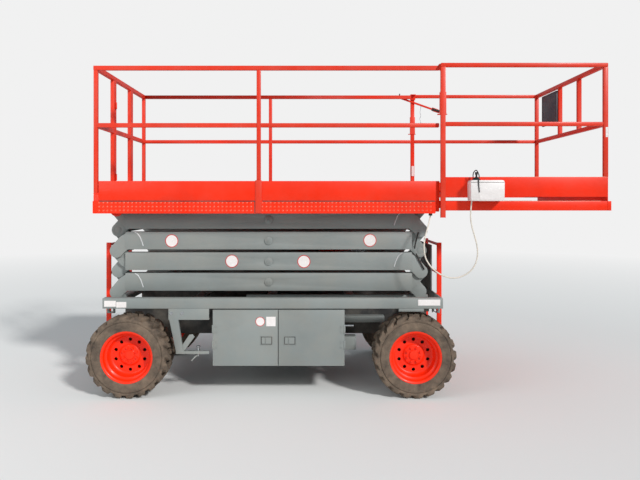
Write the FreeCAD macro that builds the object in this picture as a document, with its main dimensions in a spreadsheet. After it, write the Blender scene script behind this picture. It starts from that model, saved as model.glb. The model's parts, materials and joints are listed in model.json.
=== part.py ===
import FreeCAD, Part
import Sketcher
import math
import os
import re

# Rough-terrain scissor lift, stowed, with its platform extension run out.
# +X is the front, +Z is up, and the origin is on the ground midway between the axles.

doc = FreeCAD.newDocument("scissor_lift")
dims = doc.addObject("Spreadsheet::Sheet", "dims")

# Driving sizes in millimetres, or degrees where the name says angle: word, value.
SIZES = [
    ("fit_gap", 0.3),            # between parts that seat on each other
    ("pin_gap", 0.5),            # radial clearance of a pin in its bore
    ("run_gap", 5.0),            # between parts that pass each other
    ("wheelbase", 2440.0),
    ("tyre_face", 900.0),        # outer face of a tyre from the middle plane
    ("tyre_width", 305.0),
    ("tyre_radius", 350.0),      # over the lugs, and the height of the hubs
    ("carcass_radius", 322.0),
    ("shoulder_radius", 300.0),
    ("rim_flange_radius", 222.25),
    ("rim_barrel_radius", 205.0),
    ("rim_well_radius", 176.0),
    ("rim_wall", 7.0),
    ("rim_recess", 130.0),       # from the tyre's outer face in to the wheel disc
    ("rim_disc", 12.0),
    ("vent_count", 10.0),
    ("vent_circle", 130.0),
    ("vent_radius", 16.0),
    ("nut_count", 8.0),
    ("nut_circle", 62.0),
    ("nut_radius", 11.0),
    ("nut_height", 18.0),
    ("hub_radius", 86.0),
    ("lug_count", 20.0),
    ("lug_width", 54.0),
    ("lug_reach", 165.0),        # along the axle, from the shoulder inwards
    ("lug_angle", 24.0),
    ("rear_overhang", 55.0),     # of the chassis, beyond the rear pins
    ("front_overhang", 153.0),   # and beyond the front pins
    ("chassis_side", 800.0),
    ("deck_low", 748.0),
    ("deck_top", 837.0),
    ("rail_wide", 80.0),
    ("rail_wall", 10.0),
    ("cross_top", 790.0),
    ("spine_in", 250.0),
    ("spine_out", 330.0),
    ("spine_low", 440.0),
    ("axle_top", 400.0),
    ("axle_deep", 110.0),
    ("axle_wide", 140.0),
    ("kingpin_side", 520.0),
    ("kingpin_radius", 22.0),
    ("steer_ahead", 130.0),      # steering linkage in front of the axle
    ("cabinet_rear", -505.0),
    ("cabinet_front", 625.0),
    ("cabinet_split", 56.0),
    ("cabinet_low", 254.0),
    ("cabinet_wall", 12.0),
    ("door_top", 737.0),
    ("door_thick", 22.0),
    ("hinge_radius", 8.0),
    ("arm_deep", 156.0),
    ("arm_wide", 50.0),
    ("outer_arm_in", 535.0),     # inner face of the outer arms
    ("inner_arm_in", 477.0),     # inner face of the inner arms
    ("plate_thick", 20.0),
    ("pivot_rear", -1397.0),
    ("pivot_front", 1317.0),
    ("pivot_low", 858.0),        # height of the lowest pins
    ("level_pitch", 184.0),
    ("eye_radius", 60.0),
    ("cross_tube", 30.0),        # radius of the full-width pins
    ("beam_setback", 80.0),      # from the end pin to the end of a beam
    ("centre_pin", 27.0),
    ("centre_collar", 35.0),
    ("roller_radius", 38.0),
    ("roller_wide", 45.0),
    ("track_rear", -250.0),
    ("track_front", 1400.0),
    ("barrel_radius", 62.0),
    ("barrel_long", 1330.0),
    ("rod_radius", 38.0),
    ("rod_inside", 900.0),       # length of rod inside the barrel when stowed
    ("ear_reach", 115.0),        # from the rod's eye to the tube that carries its ears
    ("ear_tube", 25.0),
    ("base_share", 0.17),        # of an arm's length, where the cylinder's foot sits
    ("rod_share", 0.85),         # of an arm's length, where the rod's eye sits
    ("platform_rear", -1533.0),
    ("platform_front", 1438.0),
    ("platform_side", 800.0),
    ("skirt_front", 1404.0),
    ("skirt_low", 1568.0),
    ("skirt_top", 1671.0),
    ("toe_top", 1843.0),
    ("floor_top", 1743.0),
    ("floor_thick", 12.0),
    ("sheet", 4.0),
    ("rail_top", 2832.0),
    ("mid_rail", 2322.0),
    ("tube", 36.0),
    ("mid_post", -112.0),
    ("gate_near", -320.0),
    ("gate_far", 280.0),
    ("ext_in", 818.0),
    ("ext_out", 850.0),
    ("ext_rear", 1442.0),
    ("ext_front", 2890.0),
    ("ext_rail_rise", 15.0),
    ("ext_toe_low", 1707.0),
    ("ext_toe_top", 1875.0),
    ("ext_beam_low", 1590.0),
    ("ext_beam_top", 1671.0),
    ("ext_guide", 12.0),         # guides beside the main rails, and the gap to them is half of it
    ("ext_floor_rear", 1300.0),
    ("ext_floor_thick", 17.0),
    ("box_rear", 1667.0),
    ("box_front", 1947.0),
    ("box_low", 1672.0),
    ("box_top", 1846.0),
    ("box_deep", 120.0),
    ("front_ladder_gap", 34.0),  # from the chassis to a ladder's rails
    ("rear_ladder_gap", 66.0),
    ("ladder_rail", 45.0),
    ("ladder_side", 340.0),
    ("ladder_low", 430.0),
    ("ladder_top", 1285.0),
    ("rung_pitch", 265.0),
    ("cord_radius", 6.0),
]
for row, (word, size) in enumerate(SIZES, start=1):
    cell = "A%d" % row
    dims.set(cell, str(size))
    dims.setAlias(cell, word)
doc.recompute()

VALUE = dict(SIZES)
WORD = re.compile(r"[a-z][a-z_]+[a-z]")


def linked(text):
    """An expression on the sheet's sizes, from plain words and numbers."""
    return WORD.sub(lambda m: "dims." + m.group() if m.group() in VALUE else m.group(), str(text))


def bind(piece, **sizes):
    for name, text in sizes.items():
        piece.setExpression(name, linked(text))
    return piece


def place(piece, x="0", y="0", z="0"):
    for axis, text in (("x", x), ("y", y), ("z", z)):
        piece.setExpression("Placement.Base." + axis, linked(text))
    return piece


def block(x, y, z):
    """A block between two expressions along each axis."""
    piece = doc.addObject("Part::Box", "block")
    bind(piece, Length="(%s)-(%s)" % (x[1], x[0]), Width="(%s)-(%s)" % (y[1], y[0]),
         Height="(%s)-(%s)" % (z[1], z[0]))
    return place(piece, x[0], y[0], z[0])


TURN = {"x": FreeCAD.Rotation(FreeCAD.Vector(0, 1, 0), 90),
        "y": FreeCAD.Rotation(FreeCAD.Vector(1, 0, 0), -90),
        "z": FreeCAD.Rotation()}


def bar(axis, start, end, radius, **centre):
    """A round bar along an axis between two expressions; centre gives its other two places."""
    piece = doc.addObject("Part::Cylinder", "bar")
    piece.Placement.Rotation = TURN[axis]
    bind(piece, Radius=radius, Height="(%s)-(%s)" % (end, start))
    centre[axis] = start
    return place(piece, **centre)


def side_span(side, inner, outer):
    """The low and high ends of a stretch on the near (-1) or far (1) side."""
    if side > 0:
        return (inner, outer)
    return ("-(%s)" % outer, "-(%s)" % inner)


def joined(label, pieces):
    if len(pieces) == 1:
        pieces[0].Label = label
        return pieces[0]
    whole = doc.addObject("Part::MultiFuse", "joined")
    whole.Shapes = pieces
    whole.Label = label
    return whole


def grouped(label, pieces):
    """Solids that stand apart or are welded face to face, kept as one sub-part."""
    whole = doc.addObject("Part::Compound", "grouped")
    whole.Links = pieces
    whole.Label = label
    return whole


def cut(base, tool, label="cut"):
    piece = doc.addObject("Part::Cut", "cut")
    piece.Base = base
    piece.Tool = tool
    piece.Label = label
    return piece


def value(text):
    """The present value of an expression on the sheet's sizes."""
    return float(dims.evalExpression(linked(text).replace("dims.", "")))


PLANE = {"xy": "XY_Plane", "xz": "XZ_Plane", "yz": "YZ_Plane"}


def sketch_on(body, plane, points):
    """A closed outline in a body, each corner bound to its two expressions."""
    sketch = body.newObject("Sketcher::SketchObject", "outline")
    base = [f for f in body.Origin.OriginFeatures if f.Role == PLANE[plane]][0]
    sketch.AttachmentSupport = [(base, "")]
    sketch.MapMode = "FlatFace"
    corners = [FreeCAD.Vector(value(u), value(v), 0) for u, v in points]
    count = len(corners)
    for i in range(count):
        sketch.addGeometry(Part.LineSegment(corners[i], corners[(i + 1) % count]), False)
    for i in range(count):
        sketch.addConstraint(Sketcher.Constraint("Coincident", i, 2, (i + 1) % count, 1))
    for i, (u, v) in enumerate(points):
        for kind, text, size in (("DistanceX", u, corners[i].x), ("DistanceY", v, corners[i].y)):
            number = sketch.addConstraint(Sketcher.Constraint(kind, -1, 1, i, 1, size))
            sketch.renameConstraint(number, "%s%d" % (kind[-1].lower(), i))
            sketch.setExpression("Constraints.%s%d" % (kind[-1].lower(), i), linked(text))
    return sketch


def plate(plane, points, thick, **centre):
    """A plate of an outline in a plane, of a thickness shared by both sides of its place."""
    body = doc.addObject("PartDesign::Body", "plate")
    pad = body.newObject("PartDesign::Pad", "pad")
    pad.Profile = sketch_on(body, plane, points)
    pad.Midplane = True
    bind(pad, Length=thick)
    return place(body, **centre)


def turned(points, label="turned"):
    """A body turned about +Y from an outline of (radius, along) corners."""
    body = doc.addObject("PartDesign::Body", label)
    spin = body.newObject("PartDesign::Revolution", "spin")
    sketch = sketch_on(body, "xy", points)
    spin.Profile = sketch
    spin.ReferenceAxis = (sketch, ["V_Axis"])
    spin.Angle = 360
    return body


# What several sub-parts share, as expressions.
HUB_FRONT = "(wheelbase/2)"
HUB_REAR = "(-wheelbase/2)"
SIDES = (("near", -1), ("far", 1))
ENDS = (("front", 1), ("rear", -1))
node = []


def keep(piece):
    node.append(piece)
    return piece


def y_side(side, text):
    return "(%d*(%s))" % (side, text)


def tyre(label, end, side):
    """A lugged tyre: a turned carcass with bars set across both shoulders in turn."""
    body = doc.addObject("PartDesign::Body", "tyre")
    body.Label = label
    half = "tyre_width/2"
    sketch = sketch_on(body, "xy", [
        ("rim_barrel_radius+fit_gap", "-(%s)+21" % half), ("rim_barrel_radius+fit_gap", "%s-21" % half),
        ("shoulder_radius-35", half), ("carcass_radius", "%s-4" % half),
        ("carcass_radius", "-(%s)+4" % half), ("shoulder_radius-35", "-(%s)" % half)])
    spin = body.newObject("PartDesign::Revolution", "carcass")
    spin.Profile = sketch
    spin.ReferenceAxis = (sketch, ["V_Axis"])
    spin.Angle = 360
    for name, hand, turn in (("outer", 1, "0"), ("inner", -1, "180/lug_count")):
        pad = body.newObject("PartDesign::Pad", "lug_" + name)
        across = sketch_on(body, "yz", lug_outline(hand))
        across.AttachmentOffset.Rotation = FreeCAD.Rotation(FreeCAD.Vector(-1, 0, 0), 1)
        across.setExpression("AttachmentOffset.Rotation.Angle", linked(turn))
        across.setExpression("AttachmentOffset.Base.y", linked("%s*sin(%s)" % (LUG_ROOT, turn)))
        across.setExpression("AttachmentOffset.Base.z", linked("%s*cos(%s)" % (LUG_ROOT, turn)))
        pad.Profile = across
        bind(pad, Length="%s-%s" % (LUG_TOP, LUG_ROOT))
        pattern = body.newObject("PartDesign::PolarPattern", "lugs_" + name)
        pattern.Originals = [pad]
        pattern.Axis = (sketch, ["V_Axis"])
        pattern.Angle = 360
        pattern.setExpression("Occurrences", linked("lug_count"))
        body.Tip = pattern
    return place(body, end, y_side(side, "tyre_face-tyre_width/2"), "tyre_radius")


# A lug's flat top lies where its corners come out at the tyre's radius.
LUG_HALF = "(lug_width/2+lug_reach*tan(lug_angle)/2)"
LUG_TOP = "sqrt(tyre_radius^2-%s^2)" % LUG_HALF
LUG_ROOT = "(shoulder_radius-20)"


def lug_outline(hand):
    """A slanting bar in the plane of the axle (first) and the height (second)."""
    start = "%d*(tyre_width/2-6)" % hand
    stop = "%d*(tyre_width/2-6-lug_reach)" % hand
    return [(start, "-" + LUG_HALF), (start, "-%s+lug_width" % LUG_HALF),
            (stop, LUG_HALF), (stop, LUG_HALF + "-lug_width")]


def rim(label, end, side):
    """A wheel: a turned barrel, flanges and recessed disc, with vents and wheel nuts in circles."""
    body = doc.addObject("PartDesign::Body", "rim")
    half = "tyre_width/2"
    disc = "%s-rim_recess" % half
    barrel = "rim_barrel_radius"
    inside, well = barrel + "-rim_wall", "rim_well_radius"
    sketch = sketch_on(body, "xy", [
        ("0", disc + "-rim_disc"), (well, disc + "-rim_disc"), (well, "-(%s)+64" % half),
        (inside, "-(%s)+46" % half), (inside, "-(%s)+5" % half), ("rim_flange_radius", "-(%s)+5" % half),
        ("rim_flange_radius", "-(%s)+14" % half), (barrel, "-(%s)+20" % half),
        (barrel, "-(%s)+46" % half), (well + "+rim_wall", "-(%s)+64" % half),
        (well + "+rim_wall", "%s-64" % half), (barrel, "%s-46" % half),
        (barrel, "%s-20" % half), ("rim_flange_radius", "%s-14" % half),
        ("rim_flange_radius", "%s-5" % half), (inside, "%s-5" % half), (inside, "%s-46" % half),
        (well, "%s-64" % half), (well, disc + "+22"), (well + "-22", disc),
        ("hub_radius", disc), ("hub_radius-8", disc + "+14"), ("0", disc + "+14")])
    spin = body.newObject("PartDesign::Revolution", "wheel")
    spin.Profile = sketch
    spin.ReferenceAxis = (sketch, ["V_Axis"])
    spin.Angle = 360
    for name, kind, circle, radius, count in (
            ("vent", "PartDesign::Pocket", "vent_circle", "vent_radius", "vent_count"),
            ("nut", "PartDesign::Pad", "nut_circle", "nut_radius", "nut_count")):
        feature = body.newObject(kind, name)
        feature.Profile = ring_on(body, circle, radius, disc + ("+14" if name == "nut" else ""))
        feature.Reversed = True
        if name == "vent":
            feature.Midplane = True
        bind(feature, Length="nut_height" if name == "nut" else "6*rim_disc")
        pattern = body.newObject("PartDesign::PolarPattern", name + "s")
        pattern.Originals = [feature]
        pattern.Axis = (sketch, ["V_Axis"])
        pattern.Angle = 360
        pattern.setExpression("Occurrences", linked(count))
        body.Tip = pattern
    body.Label = label
    body.Placement.Rotation = FreeCAD.Rotation(FreeCAD.Vector(0, 0, 1), 0 if side > 0 else 180)
    return place(body, end, y_side(side, "tyre_face-tyre_width/2"), "tyre_radius")


def ring_on(body, circle, radius, along):
    """A round outline off the axle's line, in a plane across the axle."""
    sketch = body.newObject("Sketcher::SketchObject", "round")
    base = [f for f in body.Origin.OriginFeatures if f.Role == PLANE["xz"]][0]
    sketch.AttachmentSupport = [(base, "")]
    sketch.MapMode = "FlatFace"
    sketch.setExpression("AttachmentOffset.Base.z", linked("-(%s)" % along))
    sketch.addGeometry(Part.Circle(FreeCAD.Vector(value(circle), 0, 0), FreeCAD.Vector(0, 0, 1),
                                   value(radius)), False)
    for name, constraint, text in (
            ("off", Sketcher.Constraint("DistanceX", -1, 1, 0, 3, value(circle)), circle),
            ("wide", Sketcher.Constraint("Radius", 0, value(radius)), radius)):
        sketch.renameConstraint(sketch.addConstraint(constraint), name)
        sketch.setExpression("Constraints." + name, linked(text))
    sketch.addConstraint(Sketcher.Constraint("PointOnObject", 0, 3, -1))
    return sketch


for where, ahead in ENDS:
    for name, side in SIDES:
        hub = HUB_FRONT if ahead > 0 else HUB_REAR
        keep(tyre("tyre_%s_%s" % (where, name), hub, side))
        keep(rim("rim_%s_%s" % (where, name), hub, side))


# Chassis frame: two side rails, end plates, cross members, two spine beams and the axle mounts.
CHASSIS = {-1: "(pivot_rear-rear_overhang)", 1: "(pivot_front+front_overhang)"}


def beyond(ahead, near, far):
    """A stretch from one distance to another beyond an end of the chassis."""
    spots = ["%s+%d*(%s)" % (CHASSIS[ahead], ahead, text) for text in (near, far)]
    return tuple(spots if ahead > 0 else reversed(spots))


def side_rail(side):
    """The outline of a channel that opens inwards, as places across and up."""
    out, back = "chassis_side", "chassis_side-rail_wide"
    return [("%d*(%s)" % (side, y), z) for y, z in (
        (out, "deck_low"), (out, "deck_top"), (back, "deck_top"), (back, "deck_top-rail_wall"),
        (out + "-rail_wall", "deck_top-rail_wall"), (out + "-rail_wall", "deck_low+rail_wall"),
        (back, "deck_low+rail_wall"), (back, "deck_low"))]


# Cross members: place along X, width.
CROSS_MEMBERS = [("pivot_rear", "84"), ("-700", "80"), ("-40", "80"),
                 ("700", "80"), ("pivot_front", "120")]
pieces = []
for name, side in SIDES:
    pieces.append(plate("yz", side_rail(side), "%s-%s" % (CHASSIS[1], CHASSIS[-1]),
                        x="(%s+%s)/2" % (CHASSIS[1], CHASSIS[-1])))
    ear = side_span(side, "outer_arm_in+2", "outer_arm_in+2+plate_thick")
    ear_piece = joined("ear", [
        plate("xz", [("pivot_rear-0.68*eye_radius", "cross_top"), ("pivot_rear+1.5*eye_radius", "cross_top"),
                     ("pivot_rear+0.8*eye_radius", "pivot_low+0.6*eye_radius"),
                     ("pivot_rear-eye_radius", "pivot_low")],
              "plate_thick", y=y_side(side, "outer_arm_in+2+plate_thick/2")),
        bar("y", ear[0], ear[1], "eye_radius", x="pivot_rear", z="pivot_low")])
    pieces.append(cut(ear_piece, bar("y", ear[0] + "-5", ear[1] + "+5", "cross_tube+pin_gap",
                                     x="pivot_rear", z="pivot_low")))
for x, wide in CROSS_MEMBERS:
    pieces.append(block((x + "-(%s)/2" % wide, x + "+(%s)/2" % wide),
                        ("-chassis_side+rail_wide", "chassis_side-rail_wide"),
                        ("deck_low", "cross_top")))
for where, ahead in ENDS:
    pieces.append(block(beyond(ahead, "-12", "0"),
                        ("-chassis_side+rail_wide", "chassis_side-rail_wide"),
                        ("deck_low", "deck_top" if ahead > 0 else "cross_top")))
    for name, side in SIDES:
        lug_side = side_span(side, "chassis_side-140", "chassis_side-120")
        pieces.append(cut(block(beyond(ahead, "-72", "-2"), lug_side, ("deck_low-60", "deck_low")),
                          bar("y", lug_side[0] + "-5", lug_side[1] + "+5", "16",
                              x=beyond(ahead, "-37", "-37")[0], z="deck_low-32")))
pieces.append(block((CHASSIS[1] + "-12", CHASSIS[1]), ("-ladder_side+50", "ladder_side-50"),
                    ("deck_top", "ladder_top-25")))
keep(grouped("chassis_frame", pieces))

# Two spine beams run under the cross members, and the axles are welded to their feet.
pieces = []
for name, side in SIDES:
    pieces.append(block((CHASSIS[-1] + "+60", CHASSIS[1] + "-60"),
                        side_span(side, "spine_in", "spine_out"), ("spine_low", "deck_low")))
    for where, ahead in ENDS:
        hub = "%d*wheelbase/2" % ahead
        pieces.append(block((hub + "-axle_wide/2", hub + "+axle_wide/2"),
                            side_span(side, "spine_in", "spine_out"), ("axle_top", "spine_low")))
keep(grouped("spine_beams", pieces))

# Behind each cabinet hangs a cradle of plate: a top angle, a slanting leg, a stay and a bar.
CRADLE_OUT = "(chassis_side-1)"
pieces = []
for name, side in SIDES:
    middle = y_side(side, CRADLE_OUT + "-18")
    pieces.append(joined("cradle", [
        block(("cabinet_rear-381", "cabinet_rear-door_thick-10"), side_span(side, CRADLE_OUT + "-8", CRADLE_OUT),
              ("deck_low-88", "deck_low")),
        block(("cabinet_rear-381", "cabinet_rear-door_thick-10"), side_span(side, CRADLE_OUT + "-50", CRADLE_OUT),
              ("deck_low-96", "deck_low-88")),
        plate("xz", [("cabinet_rear-375", "deck_low-90"), ("cabinet_rear-298", "deck_low-90"),
                     ("cabinet_rear-256", "deck_low-366"), ("cabinet_rear-317", "deck_low-366")],
              "36", y=middle),
        plate("xz", [("cabinet_rear-300", "deck_low-366"), ("cabinet_rear-248", "deck_low-366"),
                     ("cabinet_rear-158", "deck_low-244"), ("cabinet_rear-176", "deck_low-222"),
                     ("cabinet_rear-204", "deck_low-226")], "12", y=middle),
        block(("cabinet_rear-317", "cabinet_rear-door_thick-10"), side_span(side, CRADLE_OUT + "-36", CRADLE_OUT),
              ("deck_low-390", "deck_low-366"))]))
keep(grouped("cradles", pieces))

# In front of the cabinets: a short beam beside each spine, a valve block and a strip over the tyre.
pieces = []
for name, side in SIDES:
    pieces.append(block(("cabinet_front+fit_gap", "cabinet_front+385"),
                        side_span(side, "spine_out", "spine_out+95"), ("deck_low-189", "deck_low-131")))
    pieces.append(block(("cabinet_front", "cabinet_front+120"),
                        side_span(side, "spine_out+40", "spine_out+150"), ("deck_low-426", "deck_low-308")))
    pieces.append(block((HUB_FRONT + "-130", HUB_FRONT + "+86"),
                        side_span(side, "chassis_side-10", "chassis_side-2"), ("deck_low-26", "deck_low")))
keep(grouped("front_supports", pieces))

keep(grouped("chassis_tracks", [
    block(("track_rear", "track_front"),
          side_span(side, "inner_arm_in-run_gap-roller_wide-7", "inner_arm_in-run_gap"),
          ("cross_top", "pivot_low-roller_radius-fit_gap")) for name, side in SIDES]))
keep(block(("cabinet_rear+25", "cabinet_front-25"), ("-spine_in", "spine_in"),
           ("tyre_radius-15", "deck_low-60")))
node[-1].Label = "engine_block"

# Cabinets hang under the side rails, open outwards behind their doors.
DOORS = [("rear", "cabinet_rear", "cabinet_split-3"), ("front", "cabinet_split+3", "cabinet_front")]
for name, side in SIDES:
    outer = block(("cabinet_rear", "cabinet_front"),
                  side_span(side, "spine_out", "chassis_side-door_thick-fit_gap"),
                  ("cabinet_low", "deck_low"))
    inner = block(("cabinet_rear+cabinet_wall", "cabinet_front-cabinet_wall"),
                  side_span(side, "spine_out+cabinet_wall", "chassis_side+10"),
                  ("cabinet_low+cabinet_wall", "door_top-cabinet_wall"))
    keep(cut(outer, inner, "cabinet_" + name))
    for where, low, high in DOORS:
        hinge = {"x": low if where == "rear" else high, "y": y_side(side, "chassis_side")}
        keep(joined("door_%s_%s" % (name, where), [
            block((low, high), side_span(side, "chassis_side-door_thick", "chassis_side"),
                  ("cabinet_low+4", "door_top")),
            bar("z", "cabinet_low+150", "cabinet_low+220", "hinge_radius", **hinge),
            bar("z", "door_top-200", "door_top-130", "hinge_radius", **hinge)]))

# Axles. Each carries its wheels on stub axles; the front one through its knuckles.
pieces = [block((HUB_REAR + "-axle_wide/2", HUB_REAR + "+axle_wide/2"), ("-480", "480"),
                ("axle_top-axle_deep", "axle_top"))]
for name, side in SIDES:
    stub = side_span(side, "470", "tyre_face-rim_recess-rim_disc")
    pieces.append(bar("y", stub[0], stub[1], "95", x=HUB_REAR, z="tyre_radius"))
pieces.append(place(turned([("0", "-170"), ("70", "-170"), ("125", "-70"), ("125", "70"),
                            ("70", "170"), ("0", "170")]), HUB_REAR, "0", "tyre_radius"))
keep(joined("rear_axle", pieces))
pieces = [block((HUB_FRONT + "-axle_wide/2", HUB_FRONT + "+axle_wide/2"), ("-430", "430"),
                ("axle_top-axle_deep", "axle_top"))]
for name, side in SIDES:
    fork = side_span(side, "425", "kingpin_side+40")
    pieces.append(block((HUB_FRONT + "-40", HUB_FRONT + "+40"), fork,
                        ("axle_top", "axle_top+24")))
    pieces.append(block((HUB_FRONT + "-40", HUB_FRONT + "+40"), fork,
                        ("axle_top-axle_deep-24", "axle_top-axle_deep")))
    pieces.append(block((HUB_FRONT + "-40", HUB_FRONT + "+40"), side_span(side, "425", "440"),
                        ("axle_top-axle_deep", "axle_top")))
    pieces.append(bar("z", "axle_top-axle_deep", "axle_top", "kingpin_radius", x=HUB_FRONT,
                      y=y_side(side, "kingpin_side")))
keep(joined("front_axle", pieces))
for name, side in SIDES:
    stub = side_span(side, "kingpin_side+20", "tyre_face-rim_recess-rim_disc")
    block_side = side_span(side, "kingpin_side-50", "kingpin_side+50")
    middle = y_side(side, "kingpin_side")
    knuckle = joined("knuckle_body", [
        bar("z", "axle_top-axle_deep+fit_gap", "axle_top-fit_gap", "48", x=HUB_FRONT, y=middle),
        bar("y", stub[0], stub[1], "50", x=HUB_FRONT, z="tyre_radius"),
        bar("y", stub[0] if side < 0 else "tyre_face-rim_recess-rim_disc-60",
            "-(tyre_face-rim_recess-rim_disc-60)" if side < 0 else stub[1], "95",
            x=HUB_FRONT, z="tyre_radius"),
        block((HUB_FRONT, HUB_FRONT + "+steer_ahead+20"),
              side_span(side, "kingpin_side-28", "kingpin_side+4"),
              ("tyre_radius-12", "tyre_radius+12"))])
    keep(cut(knuckle, bar("z", "axle_top-axle_deep-5", "axle_top+5", "kingpin_radius+pin_gap",
                          x=HUB_FRONT, y=middle), "knuckle_" + name))


# Steering cylinder across the front of the axle, and its rod, which runs out at both ends.
steer_x = HUB_FRONT + "+steer_ahead"
keep(cut(joined("steer", [
    bar("y", "-170", "170", "34", x=steer_x, z="tyre_radius"),
    block((HUB_FRONT + "+axle_wide/2", steer_x), ("-60", "60"),
          ("tyre_radius-16", "tyre_radius+16"))]),
    bar("y", "-180", "180", "16+pin_gap", x=steer_x, z="tyre_radius"), "steering_cylinder"))
keep(bar("y", "-470", "470", "16", x=steer_x, z="tyre_radius"))
node[-1].Label = "steering_rod"

# Ladders stand outside the ends of the chassis: two rails, their rungs and two brackets.
for where, ahead in ENDS:
    pieces, gap = [], where + "_ladder_gap"
    for name, side in SIDES:
        across = side_span(side, "ladder_side-6", "ladder_side+6")
        pieces.append(block(beyond(ahead, gap, gap + "+ladder_rail"), across, ("ladder_low", "ladder_top")))
        pieces.append(block(beyond(ahead, "0", gap), across, ("deck_low+10", "deck_low+70")))
    for step in range(4):
        pieces.append(bar("y", "-ladder_side", "ladder_side", "13",
                          x=beyond(ahead, gap + "+ladder_rail/2", gap + "+ladder_rail/2")[0],
                          z="ladder_low+40+%d*rung_pitch" % step))
    keep(joined("ladder_" + where, pieces))


# Scissor stack. Frames of kind A rise towards the front, and frames of kind B towards the rear.
# A pin between two frames belongs to one of them and runs in the other's eyes.
# Columns: label, kind, level, outer or inner plane, pins that it owns, pins that it only holds.
FRAMES = [
    ("arms_low_outer", "A", 1, "outer", ("rear",), ("front",)),
    ("arms_low_inner", "B", 1, "inner", ("roller",), ("rear",)),
    ("arms_second_inner", "A", 2, "inner", ("rear", "front"), ()),
    ("arms_second_outer", "B", 2, "outer", ("front",), ("rear",)),
    ("arms_third_outer", "A", 3, "outer", ("rear",), ("front",)),
    ("arms_third_inner", "B", 3, "inner", ("rear",), ("front",)),
    ("arms_top_inner", "A", 4, "inner", ("roller",), ("rear",)),
    ("arms_top_outer", "B", 4, "outer", ("front", "rear"), ()),
]
CENTRE = "(pivot_rear+pivot_front)/2"


def pin_height(number):
    return "(pivot_low+%d*level_pitch)" % number


def end_plate(pin_x, pin_z, inward, upward):
    """An arm's end: from the beam's full depth it narrows round the eye, which the pin passes."""
    near, far = "(level_pitch-arm_deep)/2", "(level_pitch+arm_deep)/2"
    return [("%s+%d*(%s)" % (pin_x, inward, x), "%s+%d*(%s)" % (pin_z, upward, z)) for x, z in (
        ("beam_setback+50", near), ("beam_setback+50", far), ("beam_setback+20", far),
        ("beam_setback/2-10", far + "-45"), ("-0.63*eye_radius", "0.77*eye_radius"),
        ("0.5*eye_radius", "-0.866*eye_radius"), ("beam_setback-4", near + "-20"),
        ("beam_setback+24", near))]


def scissor_frame(label, kind, level, layer, owned, held):
    """Two box beams with an eye plate at each end, their cross tubes, and a pin at the middle.

    An arm's low end has its eye plate on the outside, and its high end on the inside."""
    inside = layer + "_arm_in"
    middle = "(pivot_low+%s*level_pitch)" % (level - 0.5)
    ends = {"rear": level - 1, "front": level} if kind == "A" else {"rear": level, "front": level - 1}
    pieces, bores = [], []
    for name, side in SIDES:
        beam = side_span(side, inside, inside + "+arm_wide")
        pieces.append(block(("pivot_rear+beam_setback", "pivot_front-beam_setback"), beam,
                            (middle + "-arm_deep/2", middle + "+arm_deep/2")))
        for end, number in ends.items():
            pin_x, pin_z = "pivot_" + end, pin_height(number)
            low = number < level
            near = inside + ("+arm_wide-2-plate_thick" if low else "+2")
            pieces.append(plate("xz", end_plate(pin_x, pin_z, 1 if end == "rear" else -1, 1 if low else -1),
                                "plate_thick", y=y_side(side, near + "+plate_thick/2")))
            span = side_span(side, near, near + "+plate_thick")
            pieces.append(bar("y", span[0], span[1], "eye_radius", x=pin_x, z=pin_z))
        if layer == "inner":
            # The spacer lies in the gap between the planes, and the collar outside the outer arm.
            for start, stop, radius in (
                    (inside, "outer_arm_in-fit_gap", "centre_collar+12"),
                    ("outer_arm_in-2", "outer_arm_in+arm_wide+2", "centre_pin"),
                    ("outer_arm_in+arm_wide+fit_gap", "outer_arm_in+arm_wide+8", "centre_collar")):
                span = side_span(side, start, stop)
                pieces.append(bar("y", span[0], span[1], radius, x=CENTRE, z=middle))
        else:
            bores.append(bar("y", beam[0] + "-5", beam[1] + "+5", "centre_pin+pin_gap",
                             x=CENTRE, z=middle))
    reach = inside + "+arm_wide-2"
    for end in owned:
        where = "front" if end == "roller" else end
        spot = {"x": "pivot_" + where, "z": pin_height(ends[where])}
        pieces.append(bar("y", "-(%s)" % reach, reach, "cross_tube", **spot))
        if end == "roller":
            for name, side in SIDES:
                span = side_span(side, "inner_arm_in-run_gap-2-roller_wide",
                                 "inner_arm_in-run_gap-2")
                pieces.append(bar("y", span[0], span[1], "roller_radius", **spot))
    for end in held:
        spot = {"x": "pivot_" + end, "z": pin_height(ends[end])}
        bores.append(bar("y", "-(%s)-5" % reach, reach + "+5", "cross_tube+pin_gap", **spot))
    if label == "arms_low_inner":
        pieces.append(bar("y", "-inner_arm_in", "inner_arm_in", "cross_tube", x=FOOT_X, z=FOOT_Z))
    if label == "arms_second_inner":
        pieces += rod_ears()
    frame = joined(label, pieces)
    if bores:
        frame.Label = label + "_solid"
        frame = cut(frame, joined("bores", bores), label)
    return frame


# The lift cylinder stands on a tube of the low inner arms and lifts the second inner arms.
FOOT_X = "(pivot_rear+base_share*(pivot_front-pivot_rear))"
FOOT_Z = "(pivot_low+(1-base_share)*level_pitch)"
EYE_X = "(pivot_rear+rod_share*(pivot_front-pivot_rear))"
EYE_Z = "(pivot_low+(1+rod_share)*level_pitch)"
LIFT_LONG = "sqrt((%s-%s)^2+(%s-%s)^2)" % (EYE_X, FOOT_X, EYE_Z, FOOT_Z)
LIFT_SLOPE = "atan((%s-%s)/(%s-%s))" % (EYE_Z, FOOT_Z, EYE_X, FOOT_X)


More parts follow.
